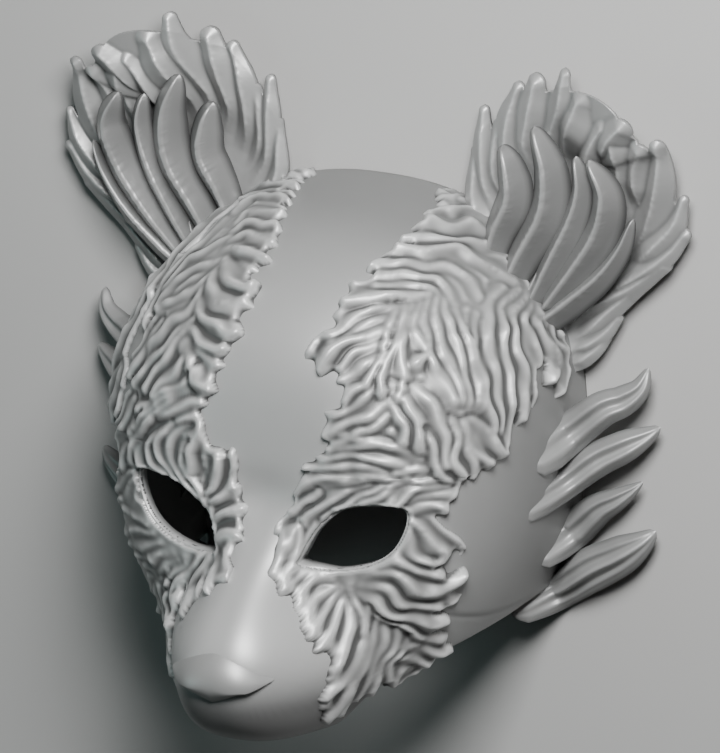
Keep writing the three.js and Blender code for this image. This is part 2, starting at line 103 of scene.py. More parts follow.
# Picture: its axes in the face's frame, its scale, and the pixel of the face's middle
VIEW_TURN = math.radians(27.2)
VIEW_RISE = math.radians(17.2)
PIXELS_PER_MM = 3.0
PICTURE = (720, 753)
MIDDLE_PIXEL = (386.2, 391.1)
ACROSS = np.array([math.cos(VIEW_TURN), 0.0, -math.sin(VIEW_TURN)])
DOWN = np.array([
    math.sin(VIEW_TURN) * math.sin(VIEW_RISE),
    -math.cos(VIEW_RISE),
    math.cos(VIEW_TURN) * math.sin(VIEW_RISE),
])
SIGHT = np.array([
    math.sin(VIEW_TURN) * math.cos(VIEW_RISE),
    math.sin(VIEW_RISE),
    math.cos(VIEW_TURN) * math.cos(VIEW_RISE),
])


def ease(share):
    """Smooth step: three times the square less twice the cube of a share held between 0 and 1."""
    held = np.clip(share, 0.0, 1.0)
    return held * held * (3.0 - 2.0 * held)


def mix(first, last, share):
    """The value at a share of the way from the first to the last."""
    return first + (last - first) * share


def smooth_path(points, count):
    """A curve through points, with as many steps on each stretch: a stretch is the cubic between its two
    points whose slope at each is half the way between that point's neighbours."""
    points = np.asarray(points, float)
    padded = np.vstack([2 * points[0] - points[1], points, 2 * points[-1] - points[-2]])
    at = np.linspace(0, len(points) - 1, count)
    first = np.minimum(at.astype(int), len(points) - 2)
    t = (at - first)[:, None]
    a, b, c, d = (padded[first + k] for k in range(4))
    square = 2 * a - 5 * b + 4 * c - d
    cube = 3 * b - 3 * c + d - a
    return 0.5 * (2 * b + (c - a) * t + square * t**2 + cube * t**3)


# Steps of a path before they are made even
PATH_STEPS = 120


def even_path(points, count):
    """A smooth curve through points, with its steps of equal length."""
    fine = smooth_path(points, PATH_STEPS)
    walked = np.concatenate([[0], np.cumsum(np.linalg.norm(np.diff(fine, axis=0), axis=1))])
    wanted = np.linspace(0, walked[-1], count)
    return np.stack([np.interp(wanted, walked, fine[:, k]) for k in range(fine.shape[1])], axis=1)


def moving_mean(values, count):
    """Each value's mean over an odd count of its neighbours, with the ends repeated past the ends."""
    padded = np.pad(values, count // 2, mode="edge")
    return np.convolve(padded, np.ones(count) / count, mode="valid")


def face_height(x, y, inset=0.0):
    """Height over the rear rim: depth times (1 - s^n)^(1/n), where s is the share of the way to the
    outline and n and the depth grow where the snout swells, less a soft stop below the brow."""
    half, crown, chin = HALF_WIDTH - inset, CROWN_RISE - inset, CHIN_DROP - inset
    reach = np.where(y > 0, crown, chin)
    out = (np.abs(x) / half) ** OUTLINE_POWER + (np.abs(y) / reach) ** OUTLINE_POWER
    share = np.minimum(out ** (1 / OUTLINE_POWER), 1.0)
    rise = np.maximum(y + SNOUT_DROP, 0.0)
    snout_half = SNOUT_HALF_WIDTH - SNOUT_INSET_SHARE * inset
    bridge_half = BRIDGE_HALF_WIDTH - BRIDGE_INSET_SHARE * inset
    swell_half = mix(snout_half, bridge_half, ease(rise / BRIDGE_RISE))
    aside = (np.abs(x) / swell_half) ** SNOUT_SIDE_POWER
    above = (rise / (SNOUT_SLOPE - BRIDGE_INSET_SHARE * inset)) ** SNOUT_RISE_POWER
    swell = np.exp(-aside - above)
    plain = mix(FACE_POWER, CROWN_POWER, ease(y / (crown * CROWN_POWER_SHARE)))
    power = mix(plain, SNOUT_POWER, swell)
    stop_aside = (x / STOP_HALF_WIDTH) ** 2
    stop_along = ((y + STOP_DROP) / STOP_HALF_HEIGHT) ** 2
    stop = STOP_DEPTH * np.exp(-stop_aside - stop_along)
    return (FACE_DEPTH - inset + SNOUT_LENGTH * swell) * (1 - share**power) ** (1 / power) - stop


def outline_reach(turn, inset=0.0):
    """Distance from the face's middle to its outline in a direction, for a rounded rectangle of powers."""
    across = np.abs(np.cos(turn)) / (HALF_WIDTH - inset)
    along = np.abs(np.sin(turn)) / np.where(np.sin(turn) > 0, CROWN_RISE - inset, CHIN_DROP - inset)
    return (across**OUTLINE_POWER + along**OUTLINE_POWER) ** (-1 / OUTLINE_POWER)


def lower_edge_height(x):
    """Height of the wall's lower edge over the rear rim, and below it past the edge's ends."""
    rows = smooth_path(LOWER_EDGE, LOWER_EDGE_STEPS)
    return np.interp(np.abs(x) / HALF_WIDTH, rows[:, 0], rows[:, 1], right=-1.0) * FACE_DEPTH


# Steps of a profile before it is spaced evenly, closer together towards the rim
PROFILE_STEPS = 260
PROFILE_POWER = 3


def face_rings(turns, steps, inset=0.0, cut=True):
    """Rings of places from the face's middle to its edge, evenly spaced along each profile: the profile is
    the face's height over a straight line from the middle, walked by its length."""
    turn = np.linspace(0, 2 * math.pi, turns, endpoint=False)
    fine = 1 - (1 - np.linspace(0, 1, PROFILE_STEPS)) ** PROFILE_POWER
    reach = outline_reach(turn, inset)
    x = fine[:, None] * reach * np.cos(turn)
    y = fine[:, None] * reach * np.sin(turn)
    z = face_height(x, y, inset)
    place = np.stack([x, y, z], axis=-1)
    walked = np.concatenate([
        np.zeros((1, turns)), np.cumsum(np.linalg.norm(np.diff(place, axis=0), axis=-1), axis=0),
    ])
    end = walked[-1].copy()
    if cut:
        over = z - lower_edge_height(x)
        gone = (y < -CHIN_DROP * LOWER_EDGE_DROP) & (over < 0)
        first = np.argmax(gone, axis=0)
        column = np.arange(turns)
        part = over[first - 1, column] / (over[first - 1, column] - over[first, column] + TINY)
        crossing = mix(walked[first - 1, column], walked[first, column], np.clip(part, 0, 1))
        end = np.where(gone.any(axis=0), crossing, end)
    wanted = np.linspace(0, 1, steps + 1)[:, None] * end
    below = np.clip((walked[None] < wanted[:, None]).sum(axis=1), 1, len(fine) - 1)
    low = np.take_along_axis(walked, below - 1, axis=0)
    high = np.take_along_axis(walked, below, axis=0)
    part = ((wanted - low) / (high - low))[..., None]
    start = np.take_along_axis(place, (below - 1)[..., None], axis=0)
    stop = np.take_along_axis(place, below[..., None], axis=0)
    return mix(start, stop, part)


# Chart: the face's places for its turns and for shares of the way to the rim
CHART_TURNS = 720
CHART_STEPS = 420
CHART = face_rings(CHART_TURNS, CHART_STEPS, cut=False)


def face_place(p, q):
    """The face's place for chart values p and q, a direction and a share of the way to the rim, read
    between the four nearest places of the finely stepped chart."""
    share = np.clip(np.hypot(p, q), 0, NEARLY_ONE) * CHART_STEPS
    turn = (np.arctan2(q, p) / (2 * math.pi) % 1.0) * CHART_TURNS
    i, j = share.astype(int), turn.astype(int) % CHART_TURNS
    a, b = (share - i)[..., None], (turn - np.floor(turn))[..., None]
    k = (j + 1) % CHART_TURNS
    return mix(mix(CHART[i, j], CHART[i, k], b), mix(CHART[i + 1, j], CHART[i + 1, k], b), a)


def pixel_place(u, v, z):
    """The place at a height over the rear rim that shows at a pixel."""
    right = (u - MIDDLE_PIXEL[0]) / PIXELS_PER_MM
    down = (v - MIDDLE_PIXEL[1]) / PIXELS_PER_MM
    x = (right - ACROSS[2] * z) / ACROSS[0]
    y = (down - DOWN[0] * x - DOWN[2] * z) / DOWN[1]
    return np.stack([x, y, np.broadcast_to(z, np.shape(x))], axis=-1)


# Sight lines: their ends and steps in millimetres, and how steeply a line counts as missing the face
SIGHT_START = 170.0
SIGHT_END = -60.0
SIGHT_STEP = 0.5
SIGHT_HALVINGS = 14
BEHIND_RIM = 20.0
MISS_SLOPE = 40.0
MISS_LEAN = 0.02
RIM_SHARE = 0.999


def seen_on_face(pixels):
    """Where the sight lines through pixels first meet the face: each line is stepped towards the face,
    and the step that enters it is halved until it is short. A line that passes by takes the step that
    misses the face by least."""
    pixels = np.asarray(pixels, float)
    right = (pixels[:, 0] - MIDDLE_PIXEL[0]) / PIXELS_PER_MM
    down = (pixels[:, 1] - MIDDLE_PIXEL[1]) / PIXELS_PER_MM
    start = right[:, None] * ACROSS + down[:, None] * DOWN

    def depth_inside(way):
        place = start[:, None] + way[..., None] * SIGHT
        x, y, z = np.moveaxis(place, -1, 0)
        share = np.hypot(x, y) / outline_reach(np.arctan2(y, x))
        height = np.where(z > 0, face_height(x, y) - z, z - BEHIND_RIM)
        missed = -MISS_SLOPE * (share - 1) - np.maximum(z, 0) * MISS_LEAN
        return np.where(share < 1, height, missed)

    count = round((SIGHT_START - SIGHT_END) / SIGHT_STEP) + 1
    way = np.broadcast_to(np.linspace(SIGHT_START, SIGHT_END, count), (len(pixels), count))
    inside = depth_inside(way)
    met = (inside > 0).any(axis=1)
    first = np.where(met, np.argmax(inside > 0, axis=1), np.argmax(inside, axis=1))
    near = way[np.arange(len(pixels)), first]
    far = np.where(met, near + SIGHT_STEP, near)
    for _ in range(SIGHT_HALVINGS):
        middle = (near + far) / 2
        deep = depth_inside(middle[:, None])[:, 0] > 0
        near = np.where(deep, middle, near)
        far = np.where(deep, far, middle)
    place = start + near[:, None] * SIGHT
    radius = np.hypot(place[:, 0], place[:, 1])
    reach = outline_reach(np.arctan2(place[:, 1], place[:, 0]))
    held = np.minimum(radius, reach * RIM_SHARE) / radius
    place[:, :2] *= held[:, None]
    place[:, 2] = np.where(met, place[:, 2], face_height(place[:, 0], place[:, 1]))
    return place


def eye_clearance(x, y):
    """Distance in the XY plane to the nearer eye's outline, less than 0 inside it."""
    corners = np.array(EYE_OUTLINE + EYE_OUTLINE[:1])
    ring = smooth_path(corners, EYE_RING_STEPS)[:-1] * (EYE_WIDTH, EYE_HEIGHT) + (EYE_SPACING / 2, -EYE_DROP)
    spot = np.stack([np.abs(x), y], axis=-1)
    nearest = np.full(x.shape, np.inf)
    inside = np.zeros(x.shape, bool)
    for a, b in zip(ring, np.roll(ring, -1, axis=0)):
        edge = b - a
        part = np.clip(((spot - a) @ edge) / (edge @ edge), 0, 1)
        nearest = np.minimum(nearest, np.linalg.norm(spot - a - part[..., None] * edge, axis=-1))
        crosses = (a[1] > spot[..., 1]) != (b[1] > spot[..., 1])
        side = spot[..., 0] < (b[0] - a[0]) * (spot[..., 1] - a[1]) / (b[1] - a[1] + TINY) + a[0]
        inside ^= crosses & side
    return np.where(inside, -nearest, nearest)


# Tone of painted light, kept at each place of a mesh: a value from 0 for painted shade in the grooves to 1
# for painted highlight on the crests
PLAIN_TONE = 0.5


def put_mesh(name, place, faces, finish, tone):
    """A piece from places in millimetres and faces of three or four corners, with its tone of painted light.
    """
    mesh = bpy.data.meshes.new(name)
    place = np.asarray(place, float) + (0.0, FACE_Y, 0.0)
    sizes = np.concatenate([np.full(len(group), group.shape[1]) for group in faces])
    corners = np.concatenate([group.ravel() for group in faces])
    mesh.vertices.add(len(place))
    mesh.vertices.foreach_set("co", (place * MM).astype(np.float32).ravel())
    mesh.loops.add(len(corners))
    mesh.loops.foreach_set("vertex_index", corners.astype(np.int32))
    mesh.polygons.add(len(sizes))
    starts = np.concatenate([[0], np.cumsum(sizes)[:-1]])
    mesh.polygons.foreach_set("loop_start", starts.astype(np.int32))
    mesh.polygons.foreach_set("use_smooth", np.ones(len(sizes), bool))
    mesh.update(calc_edges=True)
    mesh.validate()
    # The carved attribute holds painted light: painted shade in grooves, hollows and by place, painted
    # highlight on crests
    layer = mesh.attributes.new("carved", "FLOAT", "POINT")
    layer.data.foreach_set("value", tone.astype(np.float32))
    mesh.materials.append(finish)
    piece = bpy.data.objects.new(name, mesh)
    bpy.context.scene.collection.objects.link(piece)
    return piece


def joined(parts):
    """Several parts, each of places, faces and tones, as one."""
    start = 0
    places, faces, tones = [], [], []
    for place, groups, tone in parts:
        places.append(place)
        tones.append(tone)
        faces += [group + start for group in groups]
        start += len(place)
    return np.concatenate(places), faces, np.concatenate(tones)


def spots_near(spots, line, margin):
    """Which spots lie in a line's box with a margin round it."""
    low, high = line.min(axis=0) - margin, line.max(axis=0) + margin
    return np.flatnonzero(((spots > low) & (spots < high)).all(axis=1))


def nearest_on_line(spots, line):
    """Each spot's distance to a line of straight stretches, and the share of the line's stretches that
    lies before its nearest place: the spot is dropped square on each stretch, held to its ends, and the
    nearest of these places is taken."""
    start, stretch = line[:-1], np.diff(line, axis=0)
    length = (stretch**2).sum(axis=1) + TINY
    offset = spots[:, None] - start[None]
    part = np.clip((offset * stretch).sum(axis=-1) / length, 0, 1)
    distance = np.linalg.norm(offset - part[..., None] * stretch, axis=-1)
    best = np.argmin(distance, axis=1)
    pick = np.arange(len(spots))
    steps = np.linspace(0, 1, len(line))
    return distance[pick, best], mix(steps[best], steps[best + 1], part[pick, best])


def blurred(values, reach):
    """Box average over a grid, done along each direction by running sums."""
    span = 2 * reach + 1
    for axis in (0, 1):
        padding = [(reach + 1, reach) if k == axis else (0, 0) for k in (0, 1)]
        sums = np.cumsum(np.pad(values, padding, mode="edge"), axis=axis)
        ahead = np.take(sums, range(span, sums.shape[axis]), axis=axis)
        behind = np.take(sums, range(0, sums.shape[axis] - span), axis=axis)
        values = (ahead - behind) / span
    return values


def mirrored(part):
    """A part on the other side of the face, its faces turned to point outwards again."""
    place, groups, tone = part
    return place * (-1.0, 1.0, 1.0), [group[:, ::-1] for group in groups], tone


def grid_faces(rows, columns, closed=False):
    """Four-cornered faces between the places of a grid, whose last column meets the first when closed."""
    i = np.arange(rows - 1)[:, None]
    j = np.arange(columns if closed else columns - 1)[None]
    k = (j + 1) % columns
    corners = [i * columns + j, i * columns + k, (i + 1) * columns + k, (i + 1) * columns + j]
    return np.stack(np.broadcast_arrays(*corners), axis=-1).reshape(-1, 4)


# A level this close to 0 is moved off it, so that no cut passes through a corner
LEVEL_GAP = 1e-6


def cut_sheet(outer, inner, faces, level):
    """A wall between two like sheets of triangles, kept where a level is over 0. A triangle that the
    level crosses is cut where the level is 0, and side walls join the sheets along that line. Gives the
    places, the faces and the count of places in one sheet."""
    level = np.where(np.abs(level) < LEVEL_GAP, LEVEL_GAP, level)
    above = level[faces] > 0
    count = above.sum(axis=1)

    def turned(group, lone):
        first = np.argmax((level[group] > 0) == lone, axis=1)
        return np.take_along_axis(group, (first[:, None] + np.arange(3)) % 3, axis=1)

    one = turned(faces[count == 1], True)
    two = turned(faces[count == 2], False)
    pairs = np.concatenate([one[:, [0, 1]], one[:, [0, 2]], two[:, [0, 1]], two[:, [0, 2]]])
    ordered = np.sort(pairs, axis=1)
    unique, index = np.unique(ordered, axis=0, return_inverse=True)
    index = index.ravel() + len(outer)
    a, b = unique[:, 0], unique[:, 1]
    share = (level[a] / (level[a] - level[b]))[:, None]
    outer = np.concatenate([outer, mix(outer[a], outer[b], share)])
    inner = np.concatenate([inner, mix(inner[a], inner[b], share)])
    n, m = len(one), len(two)
    one_first, one_last = index[:n], index[n:2 * n]
    two_first, two_last = index[2 * n:2 * n + m], index[2 * n + m:]
    kept = [
        faces[count == 3],
        np.stack([one[:, 0], one_first, one_last], axis=1),
        np.stack([two_first, two[:, 1], two[:, 2]], axis=1),
        np.stack([two_first, two[:, 2], two_last], axis=1),
    ]
    sheet = np.concatenate(kept)
    seam = np.concatenate([
        np.stack([one_first, one_last], axis=1), np.stack([two_last, two_first], axis=1),
    ])
    total = len(outer)
    walls = np.stack([seam[:, 1], seam[:, 0], seam[:, 0] + total, seam[:, 1] + total], axis=1)
    place = np.concatenate([outer, inner])
    return place, [sheet, sheet[:, ::-1] + total, walls], total


# Wall: its turns and steps, its lip in millimetres, and how far from an eye its inner sheet is moved
SHELL_TURNS = 252
SHELL_STEPS = 116
LIP_RINGS = 3
LIP_BULGE = 0.9
RIM_HEIGHT = 1.0
EYE_WALL_REACH = 42.0
EYE_WALL_FADE = 14.0


def shell_wall():
    """The face's wall: rings from its middle to the rear rim or lower edge, a second sheet inside them,
    a lip between the two, which is rounded along the lower edge and flat at the rear rim, and a cut
    through both where an eye looks out. Round the eyes the inner sheet lies straight behind the outer."""
    outer = face_rings(SHELL_TURNS, SHELL_STEPS)
    inner = face_rings(SHELL_TURNS, SHELL_STEPS, WALL)
    x, y = outer[..., 0], outer[..., 1]
    apart = np.hypot(np.abs(x) - EYE_SPACING / 2, y + EYE_DROP)
    near_eye = ease((EYE_WALL_REACH - apart) / EYE_WALL_FADE)
    inner_x = mix(inner[..., 0], x, near_eye)
    inner_y = mix(inner[..., 1], y, near_eye)
    height = np.where(near_eye > 0, face_height(inner_x, inner_y, WALL), inner[..., 2])
    inner = np.stack([inner_x, inner_y, height], axis=-1)
    lip = np.linspace(0, 1, LIP_RINGS + 2)[1:-1, None, None]
    across = (inner[-1] - outer[-1])[None] * lip
    along = (outer[-1] - outer[-2]) / np.linalg.norm(outer[-1] - outer[-2], axis=-1, keepdims=True)
    round_lip = np.where(outer[-1, :, 2:] > RIM_HEIGHT, LIP_BULGE, 0.0)[None]
    bulge = round_lip * np.sin(math.pi * lip) * along[None]
    rim = outer[-1][None] + across + bulge
    flat_outer, flat_inner = outer[1:].reshape(-1, 3), inner[1:].reshape(-1, 3)
    quads = grid_faces(SHELL_STEPS, SHELL_TURNS, closed=True)[:, ::-1]
    hub = len(flat_outer)
    j = np.arange(SHELL_TURNS)
    fan = np.stack([np.full(SHELL_TURNS, hub), j, (j + 1) % SHELL_TURNS], axis=1)
    triangles = np.concatenate([quads[:, [0, 1, 2]], quads[:, [0, 2, 3]], fan])
    flat_outer = np.concatenate([flat_outer, outer[0, :1]])
    flat_inner = np.concatenate([flat_inner, inner[0, :1]])
    level = eye_clearance(flat_outer[:, 0], flat_outer[:, 1])
    place, groups, total = cut_sheet(flat_outer, flat_inner, triangles, level)
    last = (SHELL_STEPS - 1) * SHELL_TURNS + j
    start = len(place)
    rows = [last] + [start + r * SHELL_TURNS + j for r in range(LIP_RINGS)] + [last + total]
    lips = []
    for near, far in zip(rows[:-1], rows[1:]):
        lips.append(np.stack([near, far, np.roll(far, -1), np.roll(near, -1)], axis=1))
    return np.concatenate([place, rim.reshape(-1, 3)]), groups + lips


# Carved lock: how its width is averaged, its ends close, its back lies, its front is cut, and its painted
# highlight on the crest and painted shade in the grooves, on its back and at its root end
BLADE_MEAN = 7
BLADE_TIP_POWER = 14
BLADE_ROOT_STEEP = 14
BLADE_ROOT_LEAST = 0.02
BLADE_BACK = 0.55
BLADE_BACK_POWER = 2.4
GROOVE_DEPTH = 0.55
GROOVE_FADE_POWER = 0.6
ROUGH_HALF = 0.35
PAINTED_LIGHT_SWING = 0.4
CREST_FROM = 0.8
CREST_FADE = 0.16
GROOVE_TO = 0.3
BACK_PAINTED_SHADE = 0.25
END_PAINTED_SHADES = (0.3, 0.5)


def blade(path, width, depth, facing, rings, sides, ridge, grooves=0, rough=0.0, seed=1):
    """A carved lock: along a curve, sections with a raised front and a shallow round back. The front's
    height is the depth times one less the share of the half width to the power of the ridge. Width and
    depth are interpolated along the curve and close to nearly nothing at both ends. Grooves cut lines
    along the front, which fade towards the ends, and rough breaks the crest with small seeded bumps."""
    middle = even_path(path, rings)
    along = np.linspace(0, 1, rings)
    wide = moving_mean(np.interp(along, np.linspace(0, 1, len(width)), width) / 2, BLADE_MEAN)
    tip_close = np.sqrt(np.clip(1 - along**BLADE_TIP_POWER, 0, 1))
    close = tip_close * np.sqrt(np.clip(along * BLADE_ROOT_STEEP, BLADE_ROOT_LEAST, 1))
    deep = np.interp(along, np.linspace(0, 1, len(depth)), depth) * close
    wide = wide * close
    tangent = np.gradient(middle, axis=0)
    tangent /= np.linalg.norm(tangent, axis=1, keepdims=True)
    facing = np.asarray(facing, float)
    out = facing - (tangent @ facing)[:, None] * tangent
    out /= np.linalg.norm(out, axis=1, keepdims=True)
    across = np.cross(tangent, out)
    turn = np.linspace(0, 2 * math.pi, sides, endpoint=False)
    side = np.cos(turn)
    front = np.sin(turn) >= 0
    roof = 1 - np.abs(side) ** ridge
    back = -BLADE_BACK * (1 - np.abs(side) ** BLADE_BACK_POWER)
    height = np.where(front, roof, back)[None] * np.ones((rings, 1))
    midway = np.sin(math.pi * along)[:, None]
    if grooves:
        lines = 0.5 - 0.5 * np.cos(math.pi * (side + 1) * grooves)
        cut = np.where(front, 1 - lines, 0)[None]
        height = height * (1 - GROOVE_DEPTH * cut * midway**GROOVE_FADE_POWER)
    if rough:
        bumps = np.random.default_rng(seed).normal(0, rough, (rings, sides))
        height = height + np.where(front & (np.abs(side) < ROUGH_HALF), bumps, 0.0) * midway
    place = (
        middle[:, None]
        + across[:, None] * (wide[:, None] * side)[..., None]
        + out[:, None] * (deep[:, None] * height)[..., None]
    )
    ends = np.stack([middle[0], middle[-1]])
    j = np.arange(sides)
    k = (j + 1) % sides
    first = np.stack([np.full(sides, rings * sides), j, k], axis=1)
    last_ring = (rings - 1) * sides
    last = np.stack([np.full(sides, rings * sides + 1), last_ring + k, last_ring + j], axis=1)
    faces = grid_faces(rings, sides, closed=True)[:, ::-1]
    # Painted light: a painted highlight on the crest, painted shade in the grooves, on the back and at the
    # root end
    crest = ease((height - CREST_FROM) / CREST_FADE)
    groove = ease((GROOVE_TO - height) / GROOVE_TO)
    tone = (PLAIN_TONE + PAINTED_LIGHT_SWING * crest - PAINTED_LIGHT_SWING * groove).ravel()
    tone = np.where(np.tile(front, rings), tone, BACK_PAINTED_SHADE)
    place = np.concatenate([place.reshape(-1, 3), ends])
    return place, [faces, first, last], np.concatenate([tone, END_PAINTED_SHADES])


# Cheek tufts: middle line by pixels and heights over the rear rim, with the width in pixels at each
CHEEK_TUFTS = {
    "upper": [
        (530, 466, 30, 34), (564, 436, 18, 46), (598, 410, 15, 40), (620, 401, 12, 37), (637, 388, 10, 30),
        (646, 368, 8, 13),
    ],
    "second": [
        (520, 514, 30, 28), (558, 486, 20, 34), (592, 461, 14, 33), (618, 448, 11, 36), (641, 437, 8, 33),
        (658, 427, 6, 16),
    ],
    "third": [
        (538, 562, 18, 26), (568, 533, 8, 36), (594, 510, 8, 39), (614, 499, 8, 34), (629, 490, 7, 23),
        (641, 481, 6, 9),
    ],
    "lowest": [
        (516, 616, 12, 26), (554, 591, 4, 38), (588, 570, 6, 44), (616, 556, 7, 46), (638, 543, 7, 40),
        (654, 530, 6, 20),
    ],
}
TUFT_ROOT_GROWTH = (0.3, 0.7, 1.0, 1.0, 1.0, 1.0)
TUFT_SUNK = (2.4, 0.0, 1.4)
TUFT_GROOVES = (2, 2, 2, 3)
TUFT_FACING = (0.5, 0.25, 0.8)
TUFT_DEPTH = 1.6
TUFT_DEPTH_SHARE = 0.34
TUFT_RIDGE = 2.2
TUFT_RINGS = 72
TUFT_SIDES = 52


def cheek_tuft(rows, grooves):
    """A pointed tuft with grooves along it, its root inside the side wall and its tip free. The root lies
    where the face shows at its pixel, sunk into the wall, and the rest lies at the table's heights."""
    rows = np.array(rows, float)
    path = pixel_place(rows[:, 0], rows[:, 1], rows[:, 2])
    path[:1] = seen_on_face(rows[:1, :2]) - TUFT_SUNK
    width = rows[:, 3] / PIXELS_PER_MM
    deep = (TUFT_DEPTH + width * TUFT_DEPTH_SHARE) * TUFT_ROOT_GROWTH
    return blade(path, width, deep, TUFT_FACING, TUFT_RINGS, TUFT_SIDES, TUFT_RIDGE, grooves=grooves)


# Painted shade on the wall in place of the light's fall-off: where it changes, in millimetres, and how light
# it is
PAINTED_SHADE_LOW = 30.0
PAINTED_SHADE_HIGH = 90.0
PAINTED_SHADE_SIDE = (50.0, 72.0)
PAINTED_SHADE_UNDER = (-66.0, -78.0)
PAINTED_SHADE_LEAST = 0.1
PAINTED_SHADE_RANGE = 0.8
PAINTED_SHADE_REAR_SHARE = 0.24
PAINTED_SHADE_SIDE_FALL = 0.35


def painted_shade(place):
    """Tone of the shade painted on the wall in place of the light's fall-off: lightest on the forehead and
    the bridge, darker towards the crown and the rear rim by the height over the rim, darker at the sides,
    and darkest under the muzzle."""
    x, y, z = place[:, 0], place[:, 1], place[:, 2]
    front = ease((z - PAINTED_SHADE_LOW) / (PAINTED_SHADE_HIGH - PAINTED_SHADE_LOW))
    beside = ease((np.abs(x) - PAINTED_SHADE_SIDE[0]) / (PAINTED_SHADE_SIDE[1] - PAINTED_SHADE_SIDE[0]))
    under = ease((y - PAINTED_SHADE_UNDER[0]) / (PAINTED_SHADE_UNDER[1] - PAINTED_SHADE_UNDER[0]))
    light = mix(PAINTED_SHADE_REAR_SHARE, 1.0, front) * (1 - PAINTED_SHADE_SIDE_FALL * beside) * (1 - under)
    return PAINTED_SHADE_LEAST + PAINTED_SHADE_RANGE * light


def mask_shell():
    """The wall, its tone painted shade by place, with its four cheek tufts on each side."""
    place, groups = shell_wall()
    # The wall's tone is painted shade: darker away from the forehead and the bridge, and darkest under the
    # muzzle
    parts = [(place, groups, painted_shade(place))]
    for rows, grooves in zip(CHEEK_TUFTS.values(), TUFT_GROOVES):
        tuft = cheek_tuft(rows, grooves)
        parts += [tuft, mirrored(tuft)]
    return joined(parts)


# Nose pad: its outline in the face's frame, its relief, and the powers and shares of its curves
PAD_HALF_WIDTH = 18.6
PAD_TOP = -55.5
PAD_TIP = -64.0
PAD_BOTTOM = -72.6
PAD_RISE = 3.4
PAD_LEAN = 0.96
PAD_SUNK = 0.25
PAD_THICK = 2.0
PAD_ARCH_POWER = 1.5
PAD_FALL_POWER = 1.15
PAD_ROUND_POWER = 2.4
PAD_LOBE_DROP = 1.3
PAD_LOBE_FROM = 0.5
PAD_LOBE_FADE = 0.25
PAD_TIP_HEIGHT = 0.2
PAD_LEAST_HEIGHT = 2.0
PAD_LEAST_POWER = 8
PAD_LIP_MIDDLE = 0.6
PAD_LIP_WING = 0.86
PAD_LIP_STEEP = 1.4
PAD_ABOVE_POWER = 0.8
PAD_BELOW_POWER = 0.7
PAD_WING_POWER = 0.6
PAD_COLUMNS = 121
PAD_ROWS = 61


def nose_pad():
    """A winged pad: its upper edge is an arch, and its lower edge falls to a narrow middle between two
    round lobes. Going down, its height over the snout grows as a quarter wave to a lip and then drops
    as a quarter wave to the snout again, and all of it flattens towards the wings' tips."""
    across = np.sin(np.linspace(-math.pi / 2, math.pi / 2, PAD_COLUMNS)) * NEARLY_ONE
    down = np.linspace(0, 1, PAD_ROWS)[:, None]
    wing = np.abs(across)
    room = np.sqrt(1 - wing**PAD_ROUND_POWER)
    high = mix(PAD_TOP, PAD_TIP, wing**PAD_ARCH_POWER)
    fall = mix(PAD_BOTTOM, PAD_TIP, wing**PAD_FALL_POWER)
    lobe = fall - PAD_LOBE_DROP * room * ease((wing - PAD_LOBE_FROM) / PAD_LOBE_FADE)
    least = high - PAD_TIP_HEIGHT - PAD_LEAST_HEIGHT * np.sqrt(1 - wing**PAD_LEAST_POWER)
    y = mix(high, np.minimum(lobe, least), down)
    x = across * PAD_HALF_WIDTH + 0 * down
    lip = mix(PAD_LIP_MIDDLE, PAD_LIP_WING, ease(wing * PAD_LIP_STEEP))
    above = np.sin(0.5 * math.pi * np.clip(down / lip, 0, 1)) ** PAD_ABOVE_POWER
    below = np.cos(0.5 * math.pi * np.clip((down - lip) / (1 - lip), 0, 1)) ** PAD_BELOW_POWER
    base = face_height(x, y)
    top = base - PAD_SUNK + PAD_RISE * room**PAD_WING_POWER * above * below
    upper = np.stack([x, y - PAD_LEAN * room * above * below, top], axis=-1)
    lower = np.stack([x, y, base - PAD_THICK], axis=-1)
    return closed_slab(upper, lower)


def closed_slab(upper, lower):
    """Two grids of places, one over the other, joined round their edges. Their rows run down the face
    and their columns to the wearer's left, so the faces are turned to point outwards."""
    rows, columns = upper.shape[:2]
    place = np.concatenate([upper.reshape(-1, 3), lower.reshape(-1, 3)])
    faces = grid_faces(rows, columns)
    below = rows * columns
    index = np.arange(below).reshape(rows, columns)
    border = np.concatenate([index[0], index[1:, -1], index[-1, -2::-1], index[-2:0:-1, 0]])
    after = np.roll(border, -1)
    walls = np.stack([border, after, after + below, border + below], axis=1)
    return place, [faces[:, ::-1], faces + below, walls], np.full(len(place), PLAIN_TONE)


# Locks that stand in the ear: pixels and heights over the rear rim, with the width in pixels at each
EAR_INNER_LOCKS = {
    "first": [
        (490, 268, 15, 20), (500, 232, 17, 27), (514, 200, 18, 34), (511, 172, 19, 31),
        (501, 147, 21, 20),
    ],
    "second": [
        (504, 296, 15, 22), (524, 256, 17, 30), (547, 214, 18, 36), (549, 172, 19, 33),
        (532, 129, 22, 20),
    ],
    "third": [
        (532, 306, 14, 20), (554, 262, 16, 26), (573, 222, 17, 28), (580, 190, 18, 22),
        (573, 159, 20, 16),
    ],
    "fourth": [
        (544, 312, 14, 20), (577, 270, 16, 30), (601, 232, 17, 34), (605, 196, 20, 32),
        (585, 163, 25, 18),
    ],
    "fifth": [
        (538, 326, 13, 22), (570, 302, 14, 28), (600, 277, 15, 25), (620, 250, 16, 18),
        (630, 221, 18, 10),
    ],
    "low": [(524, 308, 14, 12), (534, 285, 15, 14), (541, 266, 15, 5)],
    "small": [(498, 262, 15, 8), (510, 248, 14, 10), (520, 232, 14, 5)],
}

